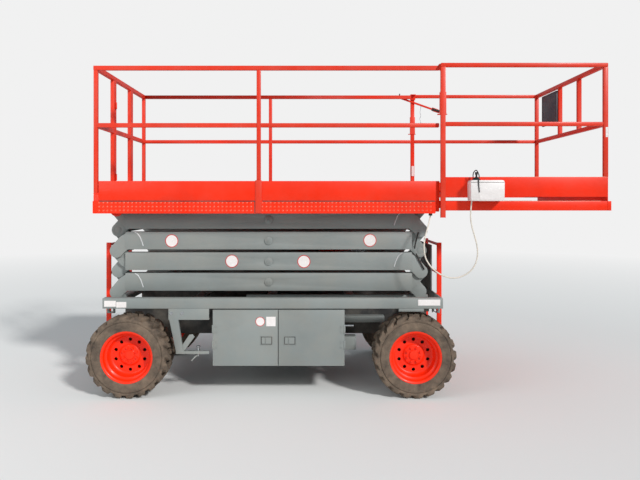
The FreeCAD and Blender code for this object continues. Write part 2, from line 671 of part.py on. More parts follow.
def rod_ears():
    """Two ears that hold the rod's eye between them, on a tube a little further along the arm."""
    slope = "level_pitch/(pivot_front-pivot_rear)"
    tube_x, tube_z = EYE_X + "+ear_reach", EYE_Z + "+ear_reach*" + slope
    pieces = [bar("y", "-inner_arm_in", "inner_arm_in", "ear_tube", x=tube_x, z=tube_z)]
    for name, side in SIDES:
        pieces.append(plate("xz", [
            (EYE_X + "-36", EYE_Z + "-20"), (EYE_X + "-20", EYE_Z + "-36"),
            (tube_x, tube_z + "-40"), (tube_x + "+30", tube_z), (tube_x, tube_z + "+40"),
            (EYE_X + "-20", EYE_Z + "+36"), (EYE_X + "-36", EYE_Z + "+20")], "16",
            y=y_side(side, "54")))
    return pieces


def along_cylinder(piece):
    """Turns a piece made along +X into the cylinder's line, about its foot."""
    piece.Placement.Rotation = FreeCAD.Rotation(FreeCAD.Vector(0, -1, 0), 5)
    piece.setExpression("Placement.Rotation.Angle", linked(LIFT_SLOPE))
    return place(piece, FOOT_X, "0", FOOT_Z)


for frame in FRAMES:
    keep(scissor_frame(*frame))

barrel = joined("barrel_solid", [
    bar("y", "-45", "45", "cross_tube+22"),
    bar("x", "cross_tube+8", "barrel_long", "barrel_radius"),
    bar("x", "barrel_long", "barrel_long+32", "barrel_radius-10")])
hollow = joined("barrel_hollow", [
    bar("y", "-50", "50", "cross_tube+pin_gap"),
    bar("x", "barrel_long-rod_inside-20", "barrel_long+40", "rod_radius+pin_gap")])
keep(along_cylinder(cut(barrel, hollow, "lift_barrel")))
keep(along_cylinder(joined("lift_rod", [
    bar("x", "barrel_long-rod_inside", LIFT_LONG, "rod_radius"),
    bar("y", "-40", "40", "rod_radius+8", x=LIFT_LONG)])))


# Platform deck: side beams, cross beams, the two scissor tracks and the rear pivot's ears.
DECK_BEAMS = [("pivot_rear", "120"), ("-1050", "50"), ("-700", "50"), ("-350", "50"), ("0", "50"),
              ("350", "50"), ("700", "50"), ("1050", "50"), ("pivot_front", "120")]
FLOOR_LOW = "(floor_top-floor_thick)"
PIVOT_HIGH = pin_height(4)
BEAM_LOW = "(%s+roller_radius+28)" % PIVOT_HIGH
keep(grouped("deck_side_beams", [
    block(("platform_rear+sheet", "platform_front"),
          side_span(side, "platform_side-55", "platform_side"), ("skirt_low+12", FLOOR_LOW))
    for name, side in SIDES]))
ears = []
for name, side in SIDES:
    ear = side_span(side, "outer_arm_in+arm_wide-2-plate_thick", "outer_arm_in+arm_wide-2")
    ear_piece = joined("ear", [
        block(("pivot_rear-eye_radius", "pivot_rear+eye_radius"), ear, (PIVOT_HIGH, BEAM_LOW + "+5")),
        bar("y", ear[0], ear[1], "eye_radius", x="pivot_rear", z=PIVOT_HIGH)])
    ears.append(cut(ear_piece, bar("y", ear[0] + "-5", ear[1] + "+5", "cross_tube+pin_gap",
                                   x="pivot_rear", z=PIVOT_HIGH)))
pieces = [block((x + "-(%s)/2" % wide, x + "+(%s)/2" % wide),
                ("-platform_side+55", "platform_side-55"), (BEAM_LOW, FLOOR_LOW))
          for x, wide in DECK_BEAMS]
keep(grouped("deck_frame", [joined("rear_beam", [pieces[0]] + ears)] + pieces[1:]))
keep(grouped("deck_tracks", [
    block(("track_rear", "track_front"),
          side_span(side, "inner_arm_in-run_gap-roller_wide-7", "inner_arm_in-run_gap"),
          (PIVOT_HIGH + "+roller_radius+fit_gap", BEAM_LOW)) for name, side in SIDES]))
keep(block(("platform_rear+sheet", "platform_front"), ("-platform_side", "platform_side"),
           (FLOOR_LOW, "floor_top")))
node[-1].Label = "deck_floor"

# Side sheets: the dimpled skirt below the seam and the toe board above it.
pieces = [block(("platform_rear", "skirt_front"),
                side_span(side, "platform_side+fit_gap", "platform_side+6"), ("skirt_low", "skirt_top-2"))
          for name, side in SIDES]
pieces.append(block(("platform_rear", "platform_rear+sheet-fit_gap"), ("-platform_side", "platform_side"),
                    ("skirt_low", "skirt_top")))
keep(grouped("skirt_panels", pieces))
pieces = [block(("platform_rear+50", "platform_front"),
                side_span(side, "platform_side+fit_gap", "platform_side+sheet"),
                ("skirt_top", "toe_top")) for name, side in SIDES]
for low, high in (("-platform_side+tube", "gate_near-tube/2"),
                  ("gate_far+tube/2", "platform_side-tube")):
    pieces.append(block(("platform_rear", "platform_rear+sheet-fit_gap"), (low, high),
                        ("skirt_top+2", "toe_top")))
keep(grouped("toe_boards", pieces))

# Main guardrails, all of square tube. The posts stand on the floor.
REAR_POST = ("platform_rear+sheet", "platform_rear+sheet+tube")
TOP_RAIL = ("rail_top-tube", "rail_top")
MID_RAIL = ("mid_rail-tube/2", "mid_rail+tube/2")
SIDE_POST = ("platform_side-tube", "platform_side")
MID_POST = ("mid_post-tube/2", "mid_post+tube/2")
pieces = []
for name, side in SIDES:
    for x in (REAR_POST, MID_POST):
        pieces.append(block(x, side_span(side, *SIDE_POST), ("floor_top", TOP_RAIL[0])))
    pieces.append(block(("mid_post-27", "mid_post+27"),
                        side_span(side, "platform_side+6", "platform_side+12"),
                        ("skirt_low", "toe_top+7")))
for y in ("gate_near", "gate_far"):
    pieces.append(block(REAR_POST, (y + "-tube/2", y + "+tube/2"), ("floor_top", TOP_RAIL[0])))
keep(grouped("main_posts", pieces))
pieces = []
for name, side in SIDES:
    wide = side_span(side, *SIDE_POST)
    pieces.append(block((REAR_POST[0], "platform_front"), wide, TOP_RAIL))
    pieces.append(block((REAR_POST[1], MID_POST[0]), wide, MID_RAIL))
    pieces.append(block((MID_POST[1], "platform_front"), wide, MID_RAIL))
for low, high in (("-platform_side+tube", "gate_near"), ("gate_far", "platform_side-tube")):
    inner = (low, high + "-tube/2") if high == "gate_near" else (low + "+tube/2", high)
    reach = (low, high + "+tube/2") if high == "gate_near" else (low + "-tube/2", high)
    pieces.append(block(REAR_POST, reach, TOP_RAIL))
    pieces.append(block(REAR_POST, inner, MID_RAIL))
keep(grouped("main_rails", pieces))
gate = ("gate_near+tube/2+2*fit_gap", "gate_far-tube/2-run_gap")
pieces = []
for low in ("floor_top+120", "rail_top-300"):
    pieces.append(block((REAR_POST[1], REAR_POST[1] + "+hinge_radius"), (gate[0], gate[0] + "+25"),
                        (low, low + "+60")))
    pieces.append(bar("z", low, low + "+60", "hinge_radius", x=REAR_POST[1] + "+hinge_radius+fit_gap",
                      y="gate_near+tube/2"))
keep(joined("gate", pieces + [
    block(REAR_POST, gate, TOP_RAIL), block(REAR_POST, gate, MID_RAIL),
    block(REAR_POST, (gate[0], gate[0] + "+tube"), ("floor_top+15", TOP_RAIL[0])),
    block(REAR_POST, (gate[1] + "-tube", gate[1]), ("floor_top+15", TOP_RAIL[0])),
    block((REAR_POST[0], REAR_POST[0] + "+sheet"), gate, ("floor_top+15", "toe_top"))]))

# Extension: its floor rolls on the main floor, and its side frames hook under the main sides.
keep(block(("ext_floor_rear", "ext_front-32"), ("-745", "745"),
           ("floor_top+fit_gap", "floor_top+fit_gap+ext_floor_thick")))
node[-1].Label = "extension_floor"
EXT_POST_REAR = ("ext_rear", "ext_rear+40")
EXT_POST_FRONT = ("ext_front-65", "ext_front-25")
EXT_TOP = ("rail_top-tube+ext_rail_rise", "rail_top+ext_rail_rise")
EXT_MID = ("mid_rail-tube/2+5", "mid_rail+tube/2+5")
GUIDE = ("ext_in-ext_guide", "ext_in")
pieces = []
for name, side in SIDES:
    wide, inner = side_span(side, "ext_in", "ext_out"), side_span(side, *GUIDE)
    # A rear post carries a guide over the main top rail, a stiffened stretch and a roller at its foot.
    roller = side_span(side, "platform_side-20", "ext_out")
    pieces.append(joined("rear_post", [
        block(EXT_POST_REAR, wide, ("skirt_low-38", EXT_TOP[0])),
        block(("ext_rear-8", "ext_rear+48"), inner, ("rail_top-44", "rail_top+ext_guide")),
        block(("ext_rear-8", "ext_rear+48"), side_span(side, "platform_side-tube", "ext_in"),
              ("rail_top+ext_guide/2", "rail_top+ext_guide")),
        block(("ext_rear-6", "ext_rear+46"), side_span(side, "ext_in-6", "ext_out-2"),
              ("rail_top-419", "rail_top-232")),
        block(("ext_rear-26", "ext_rear+54"), side_span(side, "ext_in-6", "ext_out-2"),
              ("rail_top-425", "rail_top-419")),
        bar("y", roller[0], roller[1], "13", x="ext_rear+20", z="skirt_low-19")]))
    pieces.append(block(EXT_POST_FRONT, wide, ("ext_toe_top", EXT_TOP[0])))
keep(grouped("extension_posts", pieces))
keep(grouped("extension_side_beams", [
    block((EXT_POST_REAR[1], "ext_front-32"), side_span(side, "ext_in", "ext_out"),
          ("ext_beam_low", "ext_beam_top")) for name, side in SIDES]))
keep(grouped("extension_toe_boards", [
    block((EXT_POST_REAR[1], "ext_front-32"), side_span(side, "ext_out-sheet-fit_gap", "ext_out-fit_gap"),
          ("ext_toe_low", "ext_toe_top")) for name, side in SIDES]))
keep(joined("extension_front", [
    block(("ext_front-32", "ext_front"), ("-ext_out", "ext_out"), ("ext_beam_low", "ext_beam_top")),
    block(("ext_front-32", "ext_front-28"), ("-ext_out", "ext_out"),
          ("ext_beam_top", "ext_toe_top"))]))
pieces = []
for name, side in SIDES:
    wide = side_span(side, "ext_in", "ext_out")
    pieces.append(block((EXT_POST_REAR[0], EXT_POST_FRONT[1]), wide, EXT_TOP))
    pieces.append(block((EXT_POST_REAR[1], EXT_POST_FRONT[0]), wide, EXT_MID))
keep(grouped("extension_side_rails", pieces))
STILES = ("-295", "164")
pieces = [block(EXT_POST_FRONT, ("-ext_in", "ext_in"), EXT_TOP),
          block(EXT_POST_FRONT, ("-ext_in", "ext_in"), EXT_MID)]
pieces += [block(EXT_POST_FRONT, (y + "-16", y + "+16"), (EXT_MID[1], EXT_TOP[0]))
           for y in STILES]
keep(joined("extension_front_rails", pieces))
keep(block((EXT_POST_FRONT[0] + "-22", EXT_POST_FRONT[0]), ("160", "560"),
           (EXT_MID[1] + "+115", EXT_MID[1] + "+437")))
node[-1].Label = "document_box"
keep(plate("xz", [("box_rear", "box_low"), ("box_front", "box_low"), ("box_front+3", "box_top-16"),
                  ("box_front-9", "box_top"), ("box_rear+9", "box_top"), ("box_rear-3", "box_top-16")],
           "box_deep", y="-ext_out-box_deep/2"))
node[-1].Label = "control_box"
keep(bar("z", "box_top", "box_top+70", "12", x="box_rear+60", y="-ext_out-box_deep/2"))
node[-1].Label = "joystick"
keep(joined("extension_lever", [
    plate("xz", [("ext_rear-129", "rail_top-28"), ("ext_rear-129", "rail_top-6"),
                 ("ext_rear+250", "rail_top-140"), ("ext_rear+250", "rail_top-162")],
          "ext_guide", y="ext_in-ext_guide/2"),
    plate("xz", [("ext_rear+236", "rail_top-126"), ("ext_rear+246", "rail_top-168"),
                 ("ext_rear+313", "rail_top-190"), ("ext_rear+303", "rail_top-148")],
          "30", y="ext_in-ext_guide/2")]))

# The control box's cord hangs from the box to a clip under the front of the main deck.
keep(block(("1356", "1384"), ("-768", "-740"), ("1545", "skirt_low+12")))
node[-1].Label = "cord_clip"
CORD_ROUTE = [
    (1687.9, -910, 1671), (1677, -910, 1579), (1681, -912, 1487), (1705, -917, 1395),
    (1731, -921, 1303), (1737, -922, 1202), (1705, -917, 1109), (1632, -906, 1044),
    (1538, -894, 1016), (1444, -882, 1040), (1362, -870, 1099), (1306, -858, 1183),
    (1295, -843, 1284), (1315, -825, 1383), (1347, -796, 1469),
    (1369.2, -755, 1541.5)]
ARC_SHARE = 0.45


def cord(label, route, radius):
    """A round cord along straight runs joined by tangent arcs, each as large as its runs allow."""
    points = [FreeCAD.Vector(*point) for point in route]
    edges, start, radii = [], points[0], []
    for before, corner, after in zip(points, points[1:], points[2:]):
        one, two = before - corner, after - corner
        leg = ARC_SHARE * min(one.Length, two.Length)
        one.normalize()
        two.normalize()
        half_turn = (math.pi - one.getAngle(two)) / 2
        bend = leg / math.tan(half_turn)
        radii.append(round(bend))
        into, out = corner + one * leg, corner + two * leg
        middle = corner + (one + two).normalize() * (bend / math.cos(half_turn) - bend)
        edges += [Part.LineSegment(start, into).toShape(), Part.Arc(into, middle, out).toShape()]
        start = out
    edges.append(Part.LineSegment(start, points[-1]).toShape())
    path = Part.Wire(edges)
    ring = Part.Wire(Part.Circle(points[0], points[1] - points[0], radius).toShape())
    piece = doc.addObject("Part::Feature", "cord")
    piece.Shape = path.makePipeShell([ring], True, False)
    piece.Label = label
    share = piece.Shape.Volume / (math.pi * radius ** 2 * path.Length)
    print("%s: %.0f mm long, arcs %s mm, volume %.4f of section times length"
          % (label, path.Length, radii, share))
    return piece


keep(cord("cord", CORD_ROUTE, value("cord_radius")))

doc.recompute()
for piece in doc.Objects:
    if any(word in ("Invalid", "Error") for word in piece.State):
        raise RuntimeError("%s (%s) failed: %s" % (piece.Name, piece.Label, piece.State))
names = [piece.Label for piece in node]
if len(set(names)) < len(names):
    raise RuntimeError("two sub-parts share a name")
os.makedirs("parts", exist_ok=True)
for piece in node:
    if piece.Shape.isNull() or not piece.Shape.isValid():
        raise RuntimeError(piece.Label + " isn't a valid solid")
    piece.Shape.exportStep("parts/%s.step" % piece.Label)
print(len(node), "sub-parts")
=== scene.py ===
import json
import math

import bmesh
import bpy
import numpy as np
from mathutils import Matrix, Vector


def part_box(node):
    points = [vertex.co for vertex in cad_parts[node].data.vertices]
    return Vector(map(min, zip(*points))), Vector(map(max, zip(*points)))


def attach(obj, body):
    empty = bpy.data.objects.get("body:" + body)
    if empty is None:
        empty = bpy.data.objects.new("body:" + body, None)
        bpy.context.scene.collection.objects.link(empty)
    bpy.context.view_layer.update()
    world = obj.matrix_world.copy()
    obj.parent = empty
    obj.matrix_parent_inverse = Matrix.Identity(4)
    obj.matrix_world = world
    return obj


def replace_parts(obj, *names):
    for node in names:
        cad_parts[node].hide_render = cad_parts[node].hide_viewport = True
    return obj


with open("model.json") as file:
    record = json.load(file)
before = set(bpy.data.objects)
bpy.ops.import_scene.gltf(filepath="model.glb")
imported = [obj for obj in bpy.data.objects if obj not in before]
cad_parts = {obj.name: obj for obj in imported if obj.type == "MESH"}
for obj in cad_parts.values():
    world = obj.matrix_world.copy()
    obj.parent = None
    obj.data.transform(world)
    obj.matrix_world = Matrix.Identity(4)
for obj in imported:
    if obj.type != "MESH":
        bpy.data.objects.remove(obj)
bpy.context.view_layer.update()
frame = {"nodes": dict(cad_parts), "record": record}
nodes = frame["nodes"]
SLOT_OF = {part["node"]: part["material_slot"] for part in frame["record"]["subparts"]}
BODY_OF = {node: body for body, held in frame["record"]["behaviour"]["bodies"].items()
           for node in held}
SIDES = (("near", -1), ("far", 1))
LEVELS = ("low", "second", "third", "top")


def in_scene(name, data):
    """A new object of the scene that stands at the origin."""
    thing = bpy.data.objects.new(name, data)
    bpy.context.scene.collection.objects.link(thing)
    return thing


# Camera, level and square to the lift's side. The photograph's frame is 640 by 480 pixels, and
# the camera's axis meets it left of the centre and above it, so the lens is shifted.
FRAME_WIDE = 640
FOCAL_PX = 641.0
AXIS_LEFT_OF_CENTRE = 8.0
AXIS_ABOVE_CENTRE = 40.0
EYE = (0.346, -6.295, 1.68)
SENSOR = 36.0

camera = in_scene("camera", bpy.data.cameras.new("camera"))
camera.data.sensor_width = SENSOR
camera.data.lens = SENSOR * FOCAL_PX / FRAME_WIDE
camera.data.shift_x = AXIS_LEFT_OF_CENTRE / FRAME_WIDE
camera.data.shift_y = -AXIS_ABOVE_CENTRE / FRAME_WIDE
camera.data.clip_end = 60.0
camera.location = EYE
camera.rotation_euler = (math.pi / 2, 0.0, 0.0)
bpy.context.scene.camera = camera
bpy.context.scene.view_settings.view_transform = "Standard"


# Shader groups that several finishes share.
SOCKET_KIND = {"color": "NodeSocketColor", "value": "NodeSocketFloat", "vector": "NodeSocketVector"}
SURFACE = {"Color": "color", "Roughness": "value", "Height": "value"}


def linear(red, green, blue):
    """A colour's display values, 0 to 1, as the linear values that shaders take (the sRGB curve)."""
    rgb = np.array([red, green, blue], float)
    low = rgb / 12.92
    high = ((rgb + 0.055) / 1.055) ** 2.4
    return tuple(np.where(rgb <= 0.04045, low, high)) + (1.0,)


def new_group(name, inputs):
    """An empty group with named inputs that puts out a surface, and its two end nodes."""
    group = bpy.data.node_groups.new(name, "ShaderNodeTree")
    for in_out, sockets in (("INPUT", inputs), ("OUTPUT", SURFACE)):
        for word, kind in sockets.items():
            group.interface.new_socket(word, in_out=in_out, socket_type=SOCKET_KIND[kind])
    return group, group.nodes.new("NodeGroupInput"), group.nodes.new("NodeGroupOutput")


def feed(tree, socket, given):
    """Links a socket to another node's output, or sets it to a constant."""
    if hasattr(given, "is_output"):
        tree.links.new(given, socket)
    else:
        socket.default_value = given


def node_in(tree, kind, **values):
    """A shader node with the values or links of its named sockets."""
    made = tree.nodes.new("ShaderNode" + kind)
    for word, given in values.items():
        feed(tree, made.inputs[word.replace("_", " ")], given)
    return made


def maths(tree, operation, first, second):
    """Two values added, subtracted or multiplied."""
    made = tree.nodes.new("ShaderNodeMath")
    made.operation = operation
    feed(tree, made.inputs[0], first)
    feed(tree, made.inputs[1], second)
    return made.outputs[0]


def mixed(tree, share, first, second):
    """A colour part of the way from the first to the second."""
    mix = tree.nodes.new("ShaderNodeMix")
    mix.data_type = "RGBA"
    for place, given in ((0, share), (6, first), (7, second)):
        feed(tree, mix.inputs[place], given)
    return mix.outputs[2]


def ramp(tree, source, low, high):
    """0 below the low value, 1 above the high one, and an even slope between."""
    return node_in(tree, "MapRange", Value=source, From_Min=low, From_Max=high).outputs["Result"]


def spread(tree, source, low, high):
    """A value from 0 to 1 spread evenly over another range."""
    return node_in(tree, "MapRange", Value=source, To_Min=low, To_Max=high).outputs["Result"]


def noise(tree, where, scale, detail, rough=0.55):
    made = node_in(tree, "TexNoise", Vector=where, Scale=scale, Detail=detail, Roughness=rough)
    return made.outputs["Fac"]


def paint_group():
    """Sprayed paint: a faint mottle, dust that gathers in patches, chips and a fine peel."""
    group, given, made = new_group("weathered_paint", {
        "Where": "vector", "Paint": "color", "Dust": "color", "Dust share": "value",
        "Chip": "color", "Chip share": "value", "Dullness": "value"})
    where, paint = given.outputs["Where"], given.outputs["Paint"]
    mottle = noise(group, where, scale=1.7, detail=5.0)
    patches = noise(group, where, scale=4.3, detail=6.0, rough=0.65)
    specks = noise(group, where, scale=58.0, detail=3.0, rough=0.7)
    uneven = noise(group, where, scale=34.0, detail=6.0)
    peel = noise(group, where, scale=240.0, detail=2.0)
    dusty = maths(group, "MULTIPLY", ramp(group, patches, 0.4, 0.75), given.outputs["Dust share"])
    chipped = maths(group, "MULTIPLY", ramp(group, specks, 0.72, 0.76), given.outputs["Chip share"])
    darker = node_in(group, "HueSaturation", Value=0.86, Color=paint).outputs["Color"]
    shade = mixed(group, ramp(group, mottle, 0.42, 0.68), paint, darker)
    shade = mixed(group, dusty, shade, given.outputs["Dust"])
    shade = mixed(group, chipped, shade, given.outputs["Chip"])
    rough = maths(group, "ADD", spread(group, uneven, 0.0, 0.22), given.outputs["Dullness"])
    feed(group, made.inputs["Color"], shade)
    feed(group, made.inputs["Roughness"], rough)
    feed(group, made.inputs["Height"], maths(group, "SUBTRACT", peel, chipped))
    return group


def grain_group():
    """A moulded or rubber skin: fine grain, wide patches of dust, and scuffs."""
    group, given, made = new_group("moulded_grain", {
        "Where": "vector", "Skin": "color", "Dust": "color", "Dust share": "value",
        "Grain": "value", "Dullness": "value"})
    where = given.outputs["Where"]
    patches = noise(group, where, scale=9.0, detail=8.0, rough=0.7)
    scuffs = noise(group, where, scale=60.0, detail=5.0, rough=0.6)
    grain = noise(group, where, given.outputs["Grain"], detail=3.0, rough=0.5)
    dusty = maths(group, "MULTIPLY", ramp(group, patches, 0.32, 0.72), given.outputs["Dust share"])
    shade = mixed(group, dusty, given.outputs["Skin"], given.outputs["Dust"])
    lighter = node_in(group, "HueSaturation", Value=1.25, Color=shade).outputs["Color"]
    rough = maths(group, "ADD", spread(group, scuffs, -0.08, 0.12), given.outputs["Dullness"])
    feed(group, made.inputs["Color"], mixed(group, ramp(group, scuffs, 0.55, 0.8), shade, lighter))
    feed(group, made.inputs["Roughness"], rough)
    feed(group, made.inputs["Height"], grain)
    return group


PAINT = paint_group()
GRAIN = grain_group()


def finish(name, group, bump, metallic=0.0, coat=0.0, shine=0.5, **values):
    """A material with a Principled BSDF whose colour, roughness and bump come from a shader group."""
    material = bpy.data.materials.new(name)
    material.use_nodes = True
    tree = material.node_tree
    shader = tree.nodes["Principled BSDF"]
    where = tree.nodes.new("ShaderNodeTexCoord").outputs["Object"]
    surface = tree.nodes.new("ShaderNodeGroup")
    surface.node_tree = group
    tree.links.new(where, surface.inputs["Where"])
    for word, value in values.items():
        surface.inputs[word.replace("_", " ")].default_value = value
    tree.links.new(surface.outputs["Color"], shader.inputs["Base Color"])
    tree.links.new(surface.outputs["Roughness"], shader.inputs["Roughness"])
    relief = node_in(tree, "Bump", Strength=bump, Distance=0.001, Height=surface.outputs["Height"])
    tree.links.new(relief.outputs["Normal"], shader.inputs["Normal"])
    shader.inputs["Metallic"].default_value = metallic
    shader.inputs["Specular IOR Level"].default_value = shine
    shader.inputs["Coat Weight"].default_value = coat
    shader.inputs["Coat Roughness"].default_value = 0.15
    return material


DUST = linear(0.62, 0.58, 0.52)
RUST = linear(0.36, 0.22, 0.14)
ORANGE = finish("orange_paint", PAINT, 0.12, coat=0.08, shine=0.3, Paint=linear(0.97, 0.175, 0.01),
                Dust=DUST, Dust_share=0.05, Chip=RUST, Chip_share=0.2, Dullness=0.30)
RAIL = finish("rail_paint", PAINT, 0.12, coat=0.08, shine=0.35, Paint=linear(0.90, 0.20, 0.08),
              Dust=DUST, Dust_share=0.12, Chip=RUST, Chip_share=0.5, Dullness=0.34)
# Paler orange for the skirt's dimples: rubbed paint on their crowns, and a painted highlight there.
RUBBED_HIGHLIGHT = finish("rubbed_highlight_orange", PAINT, 0.08, coat=0.1, Paint=linear(0.98, 0.29, 0.14),
                Dust=DUST, Dust_share=0.10, Chip=linear(0.95, 0.60, 0.45), Chip_share=0.4,
                Dullness=0.25)
# Pale orange for the lips along the extension's edges: a painted highlight where the edges catch the
# light, and chipped, worn paint.
WORN_HIGHLIGHT = finish("worn_highlight_orange", PAINT, 0.1, coat=0.1, Paint=linear(0.98, 0.60, 0.48), Dust=DUST,
              Dust_share=0.15, Chip=linear(0.96, 0.30, 0.12), Chip_share=0.9, Dullness=0.3)
RED = finish("plate_red", PAINT, 0.0, Paint=linear(0.80, 0.20, 0.20), Dust=DUST, Dust_share=0.2,
             Chip=RUST, Chip_share=0.0, Dullness=0.35)
GREY = finish("grey_paint", PAINT, 0.15, Paint=linear(0.535, 0.558, 0.548), Dust=DUST,
              Dust_share=0.25, Chip=RUST, Chip_share=0.3, Dullness=0.38)
# Light grey for the weld beads on the arms: a painted highlight along the plates' edges.
WELD_HIGHLIGHT = finish("weld_bead_highlight", PAINT, 0.2, Paint=linear(0.80, 0.81, 0.81), Dust=DUST, Dust_share=0.10,
              Chip=RUST, Chip_share=0.2, Dullness=0.25)
# Near black for dark fittings, seams and wells, and also painted shade: the spine beams under the
# chassis, the strip under the skirt's toe boards and the rings behind the wheel vents take it for the
# shade there.
DARK = finish("dark_metal_and_shade", PAINT, 0.4, Paint=linear(0.16, 0.16, 0.16), Dust=DUST,
              Dust_share=0.35, Chip=RUST, Chip_share=0.6, Dullness=0.5)
STEEL = finish("bright_steel", PAINT, 0.05, metallic=1.0, Paint=linear(0.78, 0.79, 0.8),
               Dust=DUST, Dust_share=0.05, Chip=RUST, Chip_share=0.0, Dullness=0.15)
TYRE = finish("dusty_tyre", GRAIN, 0.5, Skin=linear(0.25, 0.215, 0.185),
              Dust=linear(0.58, 0.50, 0.42), Dust_share=0.7, Grain=160.0, Dullness=0.85)
WHITE = finish("white_moulding", GRAIN, 0.1, Skin=linear(0.93, 0.91, 0.90),
               Dust=linear(0.74, 0.69, 0.66), Dust_share=0.3, Grain=420.0, Dullness=0.42)
BLACK = finish("black_rubber", GRAIN, 0.25, Skin=linear(0.07, 0.07, 0.07), Dust=DUST,
               Dust_share=0.12, Grain=300.0, Dullness=0.6)
PLUM = finish("dark_box", GRAIN, 0.2, Skin=linear(0.24, 0.21, 0.26), Dust=DUST,
              Dust_share=0.2, Grain=300.0, Dullness=0.5)
CREAM = finish("cable_sheath", GRAIN, 0.1, Skin=linear(0.90, 0.87, 0.82),
               Dust=linear(0.66, 0.62, 0.55), Dust_share=0.4, Grain=500.0, Dullness=0.45)

SLOT_FINISH = {"tyre_rubber": TYRE, "orange_paint": ORANGE, "grey_paint": GREY,
               "dark_metal": DARK, "bright_steel": STEEL, "white_plastic": WHITE,
               "dark_plastic": PLUM, "black_rubber": BLACK, "cream_cord": CREAM}
RAIL_NODES = ("main_posts", "main_rails", "gate", "extension_posts",
              "extension_side_rails", "extension_front_rails", "extension_lever")
for name, slot in SLOT_OF.items():
    nodes[name].data.materials.clear()
    nodes[name].data.materials.append(RAIL if name in RAIL_NODES else SLOT_FINISH[slot])


# Surfaces worked out as whole arrays. A side's sign is -1 on the near side and 1 on the far one.
AROUND = ((0, 0), (1, 0), (1, 1), (0, 1))


def quads(rows, columns, close_rows=False, close_columns=False):
    """The faces of a grid of points, stored row after row; a closed direction joins its ends."""
    i = np.arange(rows if close_rows else rows - 1)[:, None]
    j = np.arange(columns if close_columns else columns - 1)[None, :]
    i2, j2 = (i + 1) % rows, (j + 1) % columns
    corners = [i * columns + j, i * columns + j2, i2 * columns + j2, i2 * columns + j]
    return np.stack([np.broadcast_to(c, (i.shape[0], j.shape[1])) for c in corners], -1).reshape(-1, 4)


def frame_across(along):
    """Two unit directions at right angles to a third and to each other."""
    helper = np.eye(3)[int(np.argmin(np.abs(along)))]
    across = np.cross(along, helper)
    across /= np.linalg.norm(across)
    return across, np.cross(along, across)


def round_turn(sides):
    """The angles of a ring's points, as a column."""
    return np.linspace(0, 2 * math.pi, sides, endpoint=False)[:, None]


def curve_through(points, fine):
    """A smooth line through the points, by Catmull-Rom spans of so many steps each."""
    knots = np.asarray(points, float)
    knots = np.vstack([2 * knots[0] - knots[1], knots, 2 * knots[-1] - knots[-2]])
    t = np.linspace(0, 1, fine, endpoint=False)[:, None]
    spans = [0.5 * (2 * b + (c - a) * t + (2 * a - 5 * b + 4 * c - d) * t ** 2
                    + (3 * b - a - 3 * c + d) * t ** 3)
             for a, b, c, d in zip(knots, knots[1:], knots[2:], knots[3:])]
    return np.vstack(spans + [knots[-2:-1]])


def turned(profile, steps):
    """A profile of (along, radius) points carried round the Y axis: x = r sin a, z = r cos a."""
    profile = np.asarray(profile, float)
    angle = round_turn(steps)
    along = np.broadcast_to(profile[:, 0], (steps, len(profile)))
    radius = profile[:, 1]
    return np.stack([radius * np.sin(angle), along, radius * np.cos(angle)], -1)


def shaded(mesh, angle, merged=False):
    """Smooth faces, and sharp edges where two faces meet at more than an angle; where merged, doubled
    points are joined and every face is turned outwards first."""
    work = bmesh.new()
    work.from_mesh(mesh)
    if merged:
        bmesh.ops.remove_doubles(work, verts=work.verts, dist=1e-5)
        bmesh.ops.recalc_face_normals(work, faces=work.faces)
    for face in work.faces:
        face.smooth = True
    for edge in work.edges:
        if len(edge.link_faces) == 2:
            edge.smooth = edge.calc_face_angle(0.0) <= math.radians(angle)
    work.to_mesh(mesh)
    work.free()
    mesh.update()


